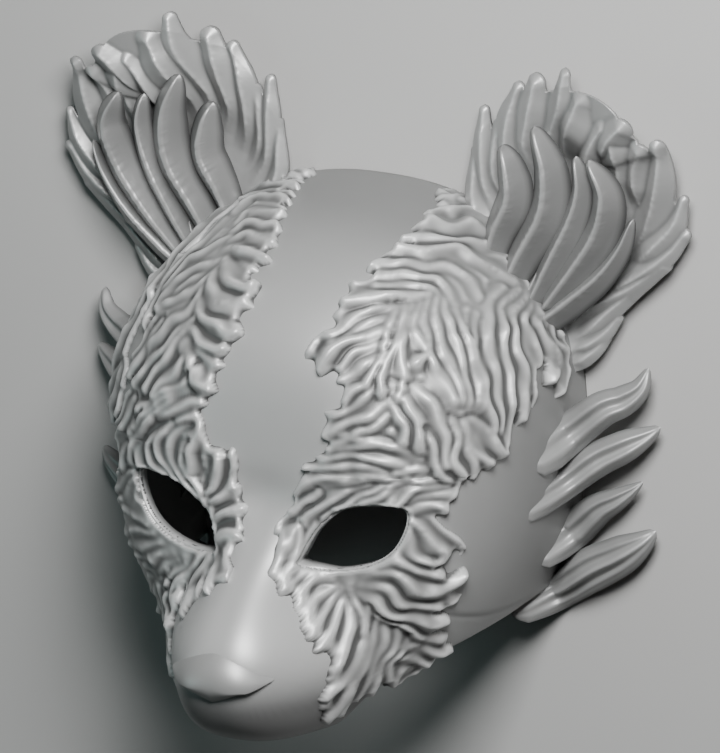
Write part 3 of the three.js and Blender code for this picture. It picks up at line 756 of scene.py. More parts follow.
# Locks round the ear's edge, from deep in its hollow to their tips
EAR_EDGE_LOCKS = {
    "inside_low": [(484, 240, 9, 12), (474, 205, 8, 20), (473, 175, 8, 18), (472, 153, 8, 6)],
    "inside_high": [(500, 224, 8, 16), (486, 190, 7, 20), (482, 150, 7, 24), (481, 114, 8, 8)],
    "inside_thin": [(506, 210, 6, 10), (494, 178, 6, 18), (494, 150, 6, 20), (497, 128, 7, 12)],
    "upper_first": [(516, 195, 5, 16), (507, 158, 6, 26), (509, 122, 8, 30), (515, 92, 11, 10)],
    "upper_second": [(536, 180, 3, 18), (526, 150, 5, 30), (531, 118, 8, 38), (533, 87, 11, 16)],
    "upper_third": [(552, 176, 2, 16), (548, 146, 4, 28), (559, 112, 8, 34), (560, 80, 11, 9)],
    "plate_edge": [(562, 178, 2, 10), (566, 152, 8, 26), (571, 126, 16, 44), (575, 107, 22, 16)],
    "plate_middle": [(600, 168, 4, 16), (604, 150, 14, 24), (612, 138, 20, 28), (616, 134, 22, 20)],
    "middle_first": [(588, 190, 6, 12), (586, 168, 10, 22), (590, 147, 15, 24), (597, 134, 19, 12)],
    "middle_second": [(624, 212, 6, 16), (620, 188, 9, 32), (614, 160, 14, 36), (605, 137, 19, 12)],
    "outer_first": [(636, 216, 5, 20), (634, 192, 7, 32), (634, 172, 9, 32), (636, 158, 12, 20)],
    "outer_second": [(628, 256, 6, 18), (648, 222, 9, 34), (656, 184, 11, 34), (651, 152, 12, 12)],
    "outer_third": [(626, 272, 6, 16), (652, 248, 9, 30), (670, 228, 10, 26), (677, 204, 10, 7)],
    "outer_fourth": [(586, 302, 9, 14), (630, 280, 10, 24), (662, 258, 9, 24), (679, 238, 8, 10)],
    "low_first": [(560, 332, 10, 16), (592, 306, 10, 26), (626, 290, 8, 24), (660, 268, 6, 12)],
    "low_second": [(566, 346, 10, 16), (590, 328, 9, 22), (614, 306, 7, 20), (640, 288, 5, 9)],
    "low_third": [(562, 354, 10, 14), (584, 346, 9, 20), (602, 334, 7, 16), (614, 320, 6, 8)],
    "low_fourth": [(564, 368, 9, 14), (580, 360, 8, 18), (594, 350, 7, 14), (603, 340, 6, 7)],
    "base_lobe": [(556, 316, 13, 16), (552, 328, 12, 20), (549, 336, 10, 12)],
}

# Ear's outline inside the locks' tips: pixels, height over the rear rim, and power of the dish's rise
EAR_RIM = [
    (484, 236, 10, 1.4), (472, 208, 8, 1.4), (472, 172, 8, 1.4), (482, 142, 8, 1.4), (497, 122, 8, 1.4),
    (518, 100, 9, 1.3), (546, 95, 12, 1.0), (574, 97, 19, 0.8), (598, 109, 22, 0.7), (618, 130, 21, 0.7),
    (638, 154, 17, 0.9), (657, 164, 13, 1.1), (668, 198, 10, 1.3), (680, 236, 9, 1.4), (674, 258, 9, 1.4),
    (655, 280, 9, 1.4), (636, 296, 8, 1.4), (616, 320, 8, 1.4), (600, 346, 8, 1.4), (576, 374, 8, 1.4),
    (560, 352, 9, 1.4), (545, 318, 10, 1.4), (524, 290, 11, 1.4), (500, 258, 11, 1.4),
]
EAR_HUB = (578, 176)
EAR_RIM_STEPS = 361

# Ear's dish in millimetres, and in shares of the way from its hub to its rim
EAR_HOLLOW = 3.2
EAR_THICK = 2.2
EAR_STEP = 0.36
EAR_MARGIN = 4
EAR_SUNK = 1.8
EAR_SUNK_STEEP = 1.6
EAR_PAST_RIM = 1.05
EAR_DISH_SHARE = 0.985
EAR_DISH_SLOPE = 30.0
EAR_THINNED = 0.5
EAR_THIN_FROM = 0.8
EAR_THIN_FADE = 0.25
EAR_CUT_MARGIN = 1.5

# Ear's locks: how their lines are settled on the dish, how far and how steeply they rise, and how rough
EAR_LOCK_STEPS = 64
EAR_WIDTH_MEAN = 19
EAR_SETTLING = 12
EAR_SETTLE_SHARE = 0.7
EAR_GROWN = 1.5
EAR_TIP_SHARE = 0.72
EAR_SLOPE = 0.78
EAR_ROOT_SHARE = 0.2
EAR_ROOT_STEEP = 2.0
EAR_BEHIND_SHARE = 0.35
EAR_CREST_STEEP = 4
EAR_ROUGH_SEED = 7
EAR_ROUGH_GAIN = 2.2
EAR_ROUGH = 0.12
EAR_ROUGH_FROM = 0.1

# Ear's painted light: highlight and shade painted by its relief, and shade painted down in its hollow,
# along its cut edge and on its back
EAR_RELIEF_REACH = 4
EAR_PAINTED_LIGHT = 0.55
EAR_HOLLOW_PAINTED_SHADE = 0.25
EAR_DEEP_TO = 0.5
EAR_EDGE_PAINTED_SHADE = 0.45
EAR_REAR_PAINTED_SHADE = 0.4


def ear_frame():
    """The hub, and the rim's distance, height and the power of its rise for turns about it."""
    rim = smooth_path(np.array(EAR_RIM + EAR_RIM[:1], float), EAR_RIM_STEPS)[:-1]
    edge = pixel_place(rim[:, 0], rim[:, 1], rim[:, 2])
    hub = pixel_place(np.array([EAR_HUB[0]]), np.array([EAR_HUB[1]]), EAR_HOLLOW)[0]
    away = edge[:, :2] - hub[:2]
    turn = np.arctan2(away[:, 1], away[:, 0])
    order = np.argsort(turn)
    turn, far = turn[order], np.hypot(away[:, 0], away[:, 1])[order]
    turns = np.concatenate([turn - 2 * math.pi, turn, turn + 2 * math.pi])
    height, power = edge[order, 2], rim[order, 3]
    return hub, turns, np.tile(far, 3), np.tile(height, 3), np.tile(power, 3)


EAR_FRAME = ear_frame()


def ear_hollow(x, y):
    """Height of the ear's plain dish, which grows with the power of the share of the way from its hub to
    its rim, and that share."""
    hub, turn, far, high, power = EAR_FRAME
    way = np.arctan2(y - hub[1], x - hub[0])
    share = np.hypot(x - hub[0], y - hub[1]) / np.interp(way, turn, far)
    rim = np.interp(way, turn, high)
    risen = np.minimum(share, EAR_PAST_RIM) ** np.interp(way, turn, power)
    return mix(EAR_HOLLOW, rim, risen), share


def ear_lines(table):
    """Middle lines of the ear's edge locks on its dish, with widths in millimetres along them. A place
    starts at the table's height and is moved to the dish in steps, along its pixel's sight line."""
    lines = []
    for rows in table.values():
        rows = np.array(rows, float)
        place = pixel_place(rows[:, 0], rows[:, 1], rows[:, 2])
        for _ in range(EAR_SETTLING):
            height = ear_hollow(place[:, 0], place[:, 1])[0]
            place = pixel_place(rows[:, 0], rows[:, 1], mix(place[:, 2], height, EAR_SETTLE_SHARE))
        width = np.interp(np.linspace(0, 1, EAR_LOCK_STEPS), np.linspace(0, 1, len(rows)), rows[:, 3])
        width = moving_mean(width, EAR_WIDTH_MEAN)
        lines.append((even_path(place, EAR_LOCK_STEPS), width / PIXELS_PER_MM))
    return lines


def ear(side):
    """A dish whose edge is fluted into pointed locks: each lock is a roof about its middle line, as high
    as its half width less the distance from the line, with a crest that is a little rough. The level is
    over 0 on the dish and on the locks, and the ear ends where it is 0."""
    lines = ear_lines(EAR_EDGE_LOCKS)
    low = np.min([line[:, :2].min(axis=0) for line, _ in lines], axis=0) - EAR_MARGIN
    high = np.max([line[:, :2].max(axis=0) for line, _ in lines], axis=0) + EAR_MARGIN
    x, y = np.meshgrid(np.arange(low[0], high[0], EAR_STEP), np.arange(low[1], high[1], EAR_STEP))
    base, share = ear_hollow(x, y)
    spot = np.stack([x, y], axis=-1).reshape(-1, 2)
    level = ((EAR_DISH_SHARE - share) * EAR_DISH_SLOPE).ravel()
    raised = np.zeros(len(spot))
    rough = np.random.default_rng(EAR_ROUGH_SEED).normal(0, 1, x.shape)
    rough = (blurred(rough, 1) * EAR_ROUGH_GAIN).ravel()
    steps = np.linspace(0, 1, EAR_LOCK_STEPS)
    for line, width in lines:
        near = spots_near(spot, line[:, :2], width.max())
        distance, along = nearest_on_line(spot[near], line[:, :2])
        half = 0.5 * EAR_GROWN * np.interp(along, steps, width)
        roof = EAR_SLOPE * (half - distance) * ease(EAR_ROOT_SHARE + along * EAR_ROOT_STEEP)
        crest = np.clip(1 - distance / half * EAR_CREST_STEEP, 0, 1)
        roof += rough[near] * EAR_ROUGH * crest * (along > EAR_ROUGH_FROM)
        raised[near] = np.maximum(raised[near], roof)
        level[near] = np.maximum(level[near], half * EAR_TIP_SHARE - distance)
    raised = blurred(raised.reshape(x.shape), 1)
    base = base - EAR_SUNK * ease(share * EAR_SUNK_STEEP)
    top = np.stack([x, y, base + raised], axis=-1).reshape(-1, 3)
    thin = EAR_THINNED * ease((share - EAR_THIN_FROM) / EAR_THIN_FADE)
    rear = base - EAR_THICK * (1 - thin) + EAR_BEHIND_SHARE * raised
    behind = np.stack([x, y, rear], axis=-1).reshape(-1, 3)
    quads = grid_faces(*x.shape)
    triangles = np.concatenate([quads[:, [0, 1, 2]], quads[:, [0, 2, 3]]])
    used = (level[triangles] > -EAR_CUT_MARGIN).any(axis=1)
    place, groups, total = cut_sheet(top, behind, triangles[used], level)
    # Painted light: lighter on raised relief, darker on low relief, down in the hollow, along the cut edge
    # and on the back
    relief = raised - blurred(raised, EAR_RELIEF_REACH)
    deep = ease((EAR_DEEP_TO - share) / EAR_DEEP_TO)
    tone = np.clip(PLAIN_TONE + EAR_PAINTED_LIGHT * relief - EAR_HOLLOW_PAINTED_SHADE * deep, 0, 1).ravel()
    tones = np.full(len(place), EAR_EDGE_PAINTED_SHADE)
    tones[:len(tone)] = tone
    tones[total:total + len(tone)] = EAR_REAR_PAINTED_SHADE
    part = without_loose((place, groups, tones))
    return mirrored(part) if side < 0 else part


def without_loose(part):
    """A part without the places that no face uses."""
    place, groups, tone = part
    used = np.unique(np.concatenate([group.ravel() for group in groups]))
    index = np.zeros(len(place), int)
    index[used] = np.arange(len(used))
    return place[used], [index[group] for group in groups], tone[used]


# Tall lock: its width grown over the table's, its depth by its width, and its sections
INNER_GROWN = 1.22
INNER_DEPTH = 1.4
INNER_DEPTH_SHARE = 0.55
INNER_FACING = (0.0, 0.1, 1.0)
INNER_RIDGE = 1.08
INNER_RINGS = 70
INNER_SIDES = 32
INNER_ROUGH = 0.02
INNER_FIRST_SEED = 40


def ear_lock(rows, seed):
    """One tall lock: a blade with a sharp crest that is a little rough."""
    rows = np.array(rows, float)
    path = pixel_place(rows[:, 0], rows[:, 1], rows[:, 2])
    width = rows[:, 3] / PIXELS_PER_MM * INNER_GROWN
    depth = INNER_DEPTH + width * INNER_DEPTH_SHARE
    sections = (INNER_RINGS, INNER_SIDES, INNER_RIDGE)
    return blade(path, width, depth, INNER_FACING, *sections, rough=INNER_ROUGH, seed=seed)


def ear_tuft(side):
    """The tall locks that stand in front of the ear's hollow."""
    parts = [ear_lock(rows, INNER_FIRST_SEED + k) for k, rows in enumerate(EAR_INNER_LOCKS.values())]
    return joined([mirrored(part) for part in parts] if side < 0 else parts)


# Carved locks of the stripe on the wearer's left: pixels from root to tip, then the width in pixels
LEFT_LOCKS = [
    (476, 203, 464, 194, 451, 188, 8), (474, 204, 460, 200, 444, 203, 10),
    (474, 214, 458, 214, 443, 216, 12), (486, 230, 458, 230, 423, 229, 18),
    (497, 246, 462, 249, 432, 243, 398, 242, 12), (508, 284, 478, 266, 448, 254, 420, 259, 395, 252, 15),
    (478, 300, 455, 275, 425, 269, 395, 268, 368, 272, 11), (452, 305, 435, 284, 405, 279, 372, 280, 10),
    (440, 303, 420, 291, 398, 289, 375, 290, 9), (425, 301, 395, 300, 362, 302, 340, 306, 15),
    (398, 309, 372, 311, 350, 322, 331, 336, 10), (392, 318, 368, 324, 350, 335, 333, 345, 10),
    (388, 330, 362, 338, 334, 352, 320, 376, 15), (386, 338, 364, 350, 350, 362, 340, 372, 9),
    (384, 350, 364, 366, 350, 378, 338, 385, 9), (384, 368, 368, 384, 354, 392, 343, 398, 10),
    (380, 385, 366, 398, 352, 408, 337, 413, 10), (384, 402, 366, 416, 346, 426, 322, 434, 14),
    (392, 410, 376, 422, 362, 432, 338, 441, 9), (396, 305, 386, 330, 380, 360, 368, 385, 10),
    (404, 305, 396, 335, 386, 365, 384, 395, 11), (410, 308, 404, 330, 398, 350, 404, 372, 398, 395, 11),
    (418, 308, 412, 335, 422, 352, 414, 366, 11), (426, 306, 420, 330, 424, 350, 434, 372, 450, 400, 12),
    (436, 306, 432, 330, 440, 355, 452, 380, 458, 398, 12),
    (444, 304, 446, 330, 456, 352, 460, 380, 466, 400, 11),
    (452, 310, 460, 332, 470, 352, 476, 380, 478, 405, 12),
    (400, 380, 420, 392, 432, 410, 442, 432, 446, 462, 11), (392, 385, 405, 400, 416, 420, 418, 445, 12),
    (386, 395, 394, 410, 404, 425, 402, 442, 10), (420, 425, 430, 445, 436, 462, 440, 478, 10),
    (448, 422, 456, 440, 452, 460, 458, 476, 12), (462, 425, 466, 445, 470, 462, 468, 478, 13),
    (470, 420, 485, 437, 496, 447, 503, 450, 13), (460, 430, 470, 447, 480, 457, 483, 459, 13),
    (500, 290, 486, 310, 482, 335, 488, 365, 492, 400, 495, 428, 13),
    (512, 292, 500, 310, 497, 335, 502, 365, 505, 400, 503, 444, 12),
    (520, 300, 508, 318, 510, 340, 516, 370, 518, 400, 516, 423, 14),
    (528, 310, 520, 325, 530, 350, 532, 370, 12), (538, 318, 534, 330, 548, 350, 552, 365, 541, 383, 17),
    (545, 322, 548, 340, 556, 350, 562, 354, 9), (476, 318, 470, 345, 474, 375, 480, 405, 486, 432, 12),
    (464, 312, 464, 340, 472, 372, 474, 402, 11), (388, 441, 360, 437, 342, 431, 9),
    (420, 455, 395, 447, 376, 441, 350, 444, 328, 447, 9), (412, 466, 388, 460, 355, 453, 328, 457, 9),
    (395, 475, 372, 466, 345, 466, 318, 466, 306, 466, 10),
    (420, 474, 400, 480, 375, 474, 345, 476, 312, 480, 297, 487, 11),
    (430, 468, 412, 466, 398, 470, 392, 475, 8), (440, 480, 420, 480, 404, 478, 390, 486, 9),
    (372, 480, 350, 485, 330, 497, 312, 512, 305, 520, 10), (392, 482, 370, 490, 352, 501, 340, 507, 10),
    (405, 484, 385, 492, 368, 503, 10), (418, 482, 398, 490, 386, 503, 9),
    (440, 486, 415, 487, 400, 497, 392, 505, 11), (403, 506, 420, 502, 438, 503, 448, 509, 12),
    (402, 500, 420, 494, 438, 492, 453, 494, 9), (322, 488, 308, 498, 298, 508, 291, 508, 11),
    (314, 503, 302, 520, 298, 535, 292, 552, 9), (305, 518, 294, 530, 287, 543, 280, 548, 10),
    (300, 545, 292, 560, 285, 575, 281, 588, 11), (318, 571, 300, 575, 289, 585, 285, 592, 8),
    (335, 573, 315, 578, 302, 592, 298, 602, 9), (340, 580, 322, 590, 309, 608, 306, 624, 10),
    (346, 581, 330, 598, 318, 618, 309, 636, 10), (350, 586, 342, 605, 332, 628, 315, 651, 10),
    (352, 590, 352, 615, 345, 640, 336, 660, 327, 670, 11), (352, 576, 354, 590, 360, 610, 366, 628, 10),
    (366, 636, 354, 660, 340, 678, 322, 694, 12), (368, 625, 362, 648, 352, 670, 340, 692, 321, 718, 12),
    (376, 615, 371, 640, 362, 662, 350, 684, 337, 710, 11),
    (385, 618, 381, 640, 371, 658, 366, 676, 352, 700, 10),
    (396, 620, 391, 642, 379, 658, 374, 676, 366, 694, 10), (404, 628, 399, 645, 388, 660, 386, 678, 10),
    (372, 598, 366, 612, 366, 630, 9), (405, 515, 415, 525, 430, 538, 441, 550, 436, 560, 13),
    (403, 530, 410, 545, 425, 554, 435, 560, 11), (380, 562, 400, 556, 420, 568, 438, 571, 13),
    (370, 568, 395, 568, 415, 584, 440, 584, 462, 568, 16), (362, 580, 390, 588, 412, 600, 436, 602, 11),
    (360, 590, 380, 600, 396, 608, 418, 616, 445, 615, 15),
    (370, 604, 386, 614, 402, 624, 420, 632, 437, 633, 11), (398, 640, 415, 640, 434, 645, 448, 643, 13),
    (392, 655, 408, 652, 424, 658, 10), (410, 662, 398, 668, 388, 682, 10),
]

# Carved locks of the stripe on the wearer's right, where the picture shows them
RIGHT_LOCKS = [
    (262, 186, 280, 180, 295, 176, 306, 178, 10), (250, 195, 275, 190, 292, 188, 300, 191, 9),
    (238, 215, 255, 203, 275, 202, 293, 206, 12), (236, 226, 252, 215, 270, 217, 286, 219, 10),
    (235, 234, 250, 226, 265, 229, 279, 232, 11), (235, 243, 250, 237, 265, 243, 277, 247, 12),
    (231, 252, 245, 255, 258, 262, 272, 263, 11), (228, 263, 232, 280, 245, 292, 262, 289, 15),
    (216, 278, 219, 298, 233, 308, 248, 304, 14), (203, 300, 207, 318, 225, 328, 243, 336, 14),
    (194, 332, 205, 343, 220, 349, 232, 347, 12), (195, 342, 205, 354, 216, 362, 227, 365, 11),
    (188, 345, 196, 365, 204, 382, 217, 391, 16), (160, 415, 182, 407, 198, 401, 210, 403, 11),
    (165, 430, 180, 420, 192, 414, 200, 414, 9), (196, 480, 193, 455, 199, 438, 205, 428, 13),
    (210, 497, 220, 480, 222, 462, 216, 445, 14), (212, 506, 224, 495, 235, 488, 243, 484, 13),
    (214, 522, 226, 516, 239, 509, 249, 508, 12), (220, 533, 230, 536, 240, 539, 244, 541, 11),
    (150, 438, 143, 452, 149, 468, 9), (166, 430, 153, 445, 156, 460, 166, 474, 10),
    (180, 420, 164, 438, 164, 455, 176, 474, 188, 488, 11),
    (192, 422, 175, 440, 174, 456, 188, 474, 202, 495, 11),
    (196, 440, 186, 455, 192, 468, 205, 485, 212, 505, 11), (205, 475, 212, 490, 217, 512, 219, 532, 9),
    (235, 205, 205, 232, 178, 262, 155, 300, 11), (228, 222, 205, 248, 180, 272, 164, 300, 148, 335, 10),
    (232, 240, 210, 255, 188, 270, 172, 292, 10), (225, 262, 200, 272, 178, 288, 166, 310, 10),
    (220, 272, 200, 290, 182, 302, 165, 310, 9), (212, 280, 202, 300, 190, 315, 172, 327, 155, 345, 10),
    (200, 318, 185, 330, 172, 345, 158, 360, 140, 385, 10), (192, 328, 178, 345, 166, 365, 152, 388, 10),
    (198, 340, 190, 358, 178, 374, 160, 395, 11), (165, 325, 154, 342, 144, 360, 134, 380, 10),
    (200, 365, 190, 380, 170, 392, 145, 412, 11), (196, 385, 175, 396, 155, 410, 136, 432, 11),
    (196, 392, 172, 404, 152, 422, 138, 445, 10), (150, 408, 140, 430, 135, 455, 10),
    (140, 400, 130, 420, 124, 442, 10), (138, 440, 130, 452, 128, 466, 10),
    (150, 521, 140, 513, 129, 508, 120, 511, 11), (156, 529, 143, 530, 131, 530, 126, 536, 10),
    (165, 541, 150, 546, 136, 541, 127, 536, 10), (176, 549, 160, 556, 143, 553, 131, 557, 10),
    (181, 556, 166, 566, 150, 563, 140, 570, 9), (140, 480, 132, 490, 126, 500, 122, 506, 10),
    (138, 468, 130, 476, 122, 488, 119, 498, 10), (188, 551, 188, 562, 178, 572, 172, 580, 10),
    (204, 555, 188, 575, 181, 590, 182, 601, 15), (213, 560, 199, 580, 193, 600, 186, 614, 12),
    (222, 550, 219, 570, 212, 591, 11), (172, 566, 176, 582, 172, 602, 175, 626, 11),
    (165, 572, 160, 590, 165, 610, 170, 624, 9), (155, 575, 152, 600, 160, 620, 166, 636, 11),
    (148, 562, 146, 592, 152, 622, 165, 653, 11), (205, 548, 216, 546, 222, 548, 8),
]

# Stripe: the chart's values that it covers and their steps, and where it stops before an eye hole
STRIPE_P = (0.02, 0.93)
STRIPE_Q = (-0.66, 0.93)
STRIPE_STEP = 0.0044
CHEEK_STEP_SHARE = 0.72
STRIPE_RIM_SHARE = 0.985
STRIPE_LEAST = 0.02
STRIPE_THICK = 0.7
# Painted light on the fur's relief: painted highlight above its blur, painted shade below it
STRIPE_RELIEF_REACH = 3
STRIPE_PAINTED_LIGHT = 1.2
FRONT_HEIGHT = 40
EYE_FALL = 7.0
EYE_MARGIN = 0.3
EYE_CUT = 0.05

# Fur's heights in millimetres: sunk round the locks, in valleys, at tips, and where no lock claims it
STRIPE_SINK = 0.9
VALLEY_RISE = 0.9
TIP_RISE = 0.7
BODY_RISE = 1.5
EDGE_FALL = 3.6

# A lock's crest and reach, in shares of its width
CREST_SHARE = 0.52
LOCK_GROWN = 1.9
LOCK_MARGIN = 1.9
FILL_REACH = 1.5
RIPPLE_SHARP = 0.7
ROOT_CREST_SHARE = 0.5
ROOT_STEEP = 2.4

# A lock's tip and claim, along its length
LOCK_STEPS = 22
TIP_GROWN = 0.92
TIP_POWER = 5.0
TIP_ROUND_POWER = 0.55
TIP_LEAST = 0.05
ROOT_CLAIM = 1.12
TIP_CLAIM = 0.24
FILL_END = 0.8
FILL_END_FALL = 30.0
AWAY_LIMIT = 0.12

# Cover and claim before any lock, where the cover ends, and the reach and least share that close a hole
UNCOVERED = -9.0
UNCLAIMED = 9.0
COVER_EDGE = -0.3
CLOSINGS = ((4, 0.72), (12, 0.84))

# Waves that bend the locks and vary their crests, and the roughness of the crests
WAVE_LENGTH = 14.0
WAVE_REACH = 0.75
WAVE_COUNT = 6
WAVE_SHORTEST = 0.7
WAVE_LONGEST = 1.5
WAVE_SCALE = 2.4
WAVE_SEEDS = (1, 2, 3)
CREST_WAVE = 0.35
CREST_WAVE_SEED = 4
CREST_ROUGH = 0.22
CREST_ROUGH_SEED = 11
ROUGH_FROM = 0.75
ROUGH_FADE = 0.2


def lock_lines(table):
    """Middle lines on the face of the locks in a table, with each one's width in millimetres."""
    lines = []
    pixels = np.array([point for row in table for point in zip(row[:-1:2], row[1:-1:2])], float)
    places = seen_on_face(pixels)
    start = 0
    for row in table:
        count = (len(row) - 1) // 2
        line = even_path(places[start:start + count], LOCK_STEPS)
        lines.append((line, row[-1] / PIXELS_PER_MM))
        start += count
    return lines


def faces_away(line):
    """True where a lock lies past the picture's edge of the face, or nearly: where the face's normal, from
    its slopes at the lock's middle, points hardly towards the camera."""
    step = 0.5
    x, y = line[len(line) // 2][:2]
    slope_x = (face_height(x + step, y) - face_height(x - step, y)) / (2 * step)
    slope_y = (face_height(x, y + step) - face_height(x, y - step)) / (2 * step)
    normal = np.array([-slope_x, -slope_y, 1.0])
    return (normal / np.linalg.norm(normal)) @ SIGHT < AWAY_LIMIT


def waves(place, seed):
    """A smooth wander: a scaled sum of a few sines along seeded directions, with seeded lengths."""
    draw = np.random.default_rng(seed)
    ways = draw.normal(0, 1, (WAVE_COUNT, 3))
    turns = 2 * math.pi / WAVE_LENGTH / np.linalg.norm(ways, axis=1, keepdims=True)
    ways *= turns * draw.uniform(WAVE_SHORTEST, WAVE_LONGEST, (WAVE_COUNT, 1))
    starts = draw.uniform(0, 2 * math.pi, WAVE_COUNT)
    return np.sin(place @ ways.T + starts).sum(axis=-1) / WAVE_SCALE


def stripe_heights(place, lines):
    """Height of the carved fur over the face. Places first wander by the waves, so that no lock is quite
    even. Each place belongs to the lock whose middle line is nearest for its width, and a lock claims
    more towards its tip. The fur rises in a ripple over that line: a mean of a cosine and a sharper
    crest, higher for a wider lock, weaker at its root, and a little rough on top. The cover is 0 inside
    the locks and round their roots and falls steeply outside them, and holes that the cover nearly
    closes are closed. The height is the ripple and the cover together, averaged once."""
    flat = place.reshape(-1, 3)
    flat = flat + WAVE_REACH * np.stack([waves(flat, seed) for seed in WAVE_SEEDS], axis=-1)
    strength = 1 + CREST_WAVE * waves(flat, CREST_WAVE_SEED)
    rough = CREST_ROUGH * np.random.default_rng(CREST_ROUGH_SEED).normal(0, 1, len(flat))
    cover = np.full(len(flat), UNCOVERED)
    claimed = np.full(len(flat), UNCLAIMED)
    body = np.full(len(flat), VALLEY_RISE + BODY_RISE)
    for line, width in lines:
        near = spots_near(flat, line, width * LOCK_MARGIN)
        if len(near) == 0:
            continue
        distance, along = nearest_on_line(flat[near], line)
        half = 0.5 * width * LOCK_GROWN
        reach = distance / half
        soft = 0.5 + 0.5 * np.cos(math.pi * reach)
        sharp = 1 - np.abs(np.sin(0.5 * math.pi * reach))
        ripple = mix(soft, sharp, RIPPLE_SHARP)
        grown = mix(ROOT_CREST_SHARE, 1.0, ease(along * ROOT_STEEP))
        height = VALLEY_RISE + TIP_RISE * along + CREST_SHARE * width * ripple * strength[near] * grown
        height += rough[near] * ease((ripple - ROUGH_FROM) / ROUGH_FADE)
        claim = reach * (ROOT_CLAIM - TIP_CLAIM * along)
        closer = claim < claimed[near]
        claimed[near] = np.where(closer, claim, claimed[near])
        body[near] = np.where(closer, height, body[near])
        tapered = np.clip(1 - along**TIP_POWER, 0, 1) ** TIP_ROUND_POWER
        outside = -EDGE_FALL * np.maximum(distance - (half * TIP_GROWN * tapered + TIP_LEAST), 0)
        root = -EDGE_FALL * np.maximum(distance - width * FILL_REACH, 0)
        root -= FILL_END_FALL * np.maximum(along - FILL_END, 0)
        cover[near] = np.maximum(cover[near], np.maximum(outside, root))
    covered = (cover > COVER_EDGE).astype(float).reshape(place.shape[:2])
    for reach, least in CLOSINGS:
        cover = np.where(blurred(covered, reach).ravel() > least, np.maximum(cover, 0), cover)
    height = blurred((body + cover).reshape(place.shape[:2]), 1)
    return np.maximum(height, -STRIPE_SINK)


def stripe_lines(side):
    """Middle lines of one stripe's locks on the wearer's left of the face. The right stripe has the locks
    that the picture shows, and the left one's where the picture doesn't show the face."""
    left = lock_lines(LEFT_LOCKS)
    if side > 0:
        return left
    shown = [(line * (-1.0, 1.0, 1.0), width) for line, width in lock_lines(RIGHT_LOCKS)]
    return [(line, width) for line, width in left if faces_away(line * (-1.0, 1.0, 1.0))] + shown


def fur_stripe(side):
    """One carved stripe: the face's own surface raised by its locks, sunk into the wall round them, and
    closed by a second sheet inside the wall and walls along the border between the two. Near an eye
    hole the height falls with the clearance, and the stripe ends just before the hole."""
    p = np.arange(*STRIPE_P, STRIPE_STEP)
    cheek = np.arange(STRIPE_Q[0], 0, STRIPE_STEP * CHEEK_STEP_SHARE)
    q = np.concatenate([cheek, np.arange(0, STRIPE_Q[1], STRIPE_STEP)])
    grid_p, grid_q = np.meshgrid(p, q)
    place = face_place(grid_p, grid_q)
    normal = np.cross(np.gradient(place, axis=1), np.gradient(place, axis=0))
    normal /= np.linalg.norm(normal, axis=-1, keepdims=True) + TINY
    height = stripe_heights(place, stripe_lines(side))
    clear = eye_clearance(place[..., 0], place[..., 1])
    front = place[..., 2] > FRONT_HEIGHT
    height = np.where(front, np.minimum(height, EYE_FALL * (clear - EYE_MARGIN) - STRIPE_SINK), height)
    height = np.maximum(height, -STRIPE_SINK)
    allowed = (np.hypot(grid_p, grid_q) < STRIPE_RIM_SHARE) & ((clear > EYE_CUT) | ~front)
    shown = allowed & (height > -STRIPE_SINK + STRIPE_LEAST)
    quads = grid_faces(*place.shape[:2])
    quads = quads[shown.ravel()[quads].any(axis=1) & allowed.ravel()[quads].all(axis=1)]
    used, index = np.unique(quads, return_inverse=True)
    kept = index.reshape(quads.shape)
    upper = (place + normal * height[..., None]).reshape(-1, 3)[used]
    lower = (place - normal * (STRIPE_SINK + STRIPE_THICK)).reshape(-1, 3)[used]
    total = len(used)
    edges = np.concatenate([kept[:, [k, (k + 1) % 4]] for k in range(4)])
    keys = edges[:, 0].astype(np.int64) * total + edges[:, 1]
    back = edges[:, 1].astype(np.int64) * total + edges[:, 0]
    border = edges[~np.isin(keys, back)]
    walls = np.stack([border[:, 1], border[:, 0], border[:, 0] + total, border[:, 1] + total], axis=1)
    # Painted highlight where the fur stands above its blur, painted shade where it lies below
    relief = height - blurred(height, STRIPE_RELIEF_REACH)
    tone = np.clip(PLAIN_TONE + STRIPE_PAINTED_LIGHT * relief, 0, 1).ravel()[used]
    part = (
        np.concatenate([upper, lower]),
        [kept, kept[:, ::-1] + total, walls],
        np.concatenate([tone, np.full(total, PLAIN_TONE)]),
    )
    return mirrored(part) if side < 0 else part


def input_socket(group, name, kind, value):
    """A named input of a node group, with its first value."""
    socket = group.interface.new_socket(name=name, in_out="INPUT", socket_type=kind)
    socket.default_value = value


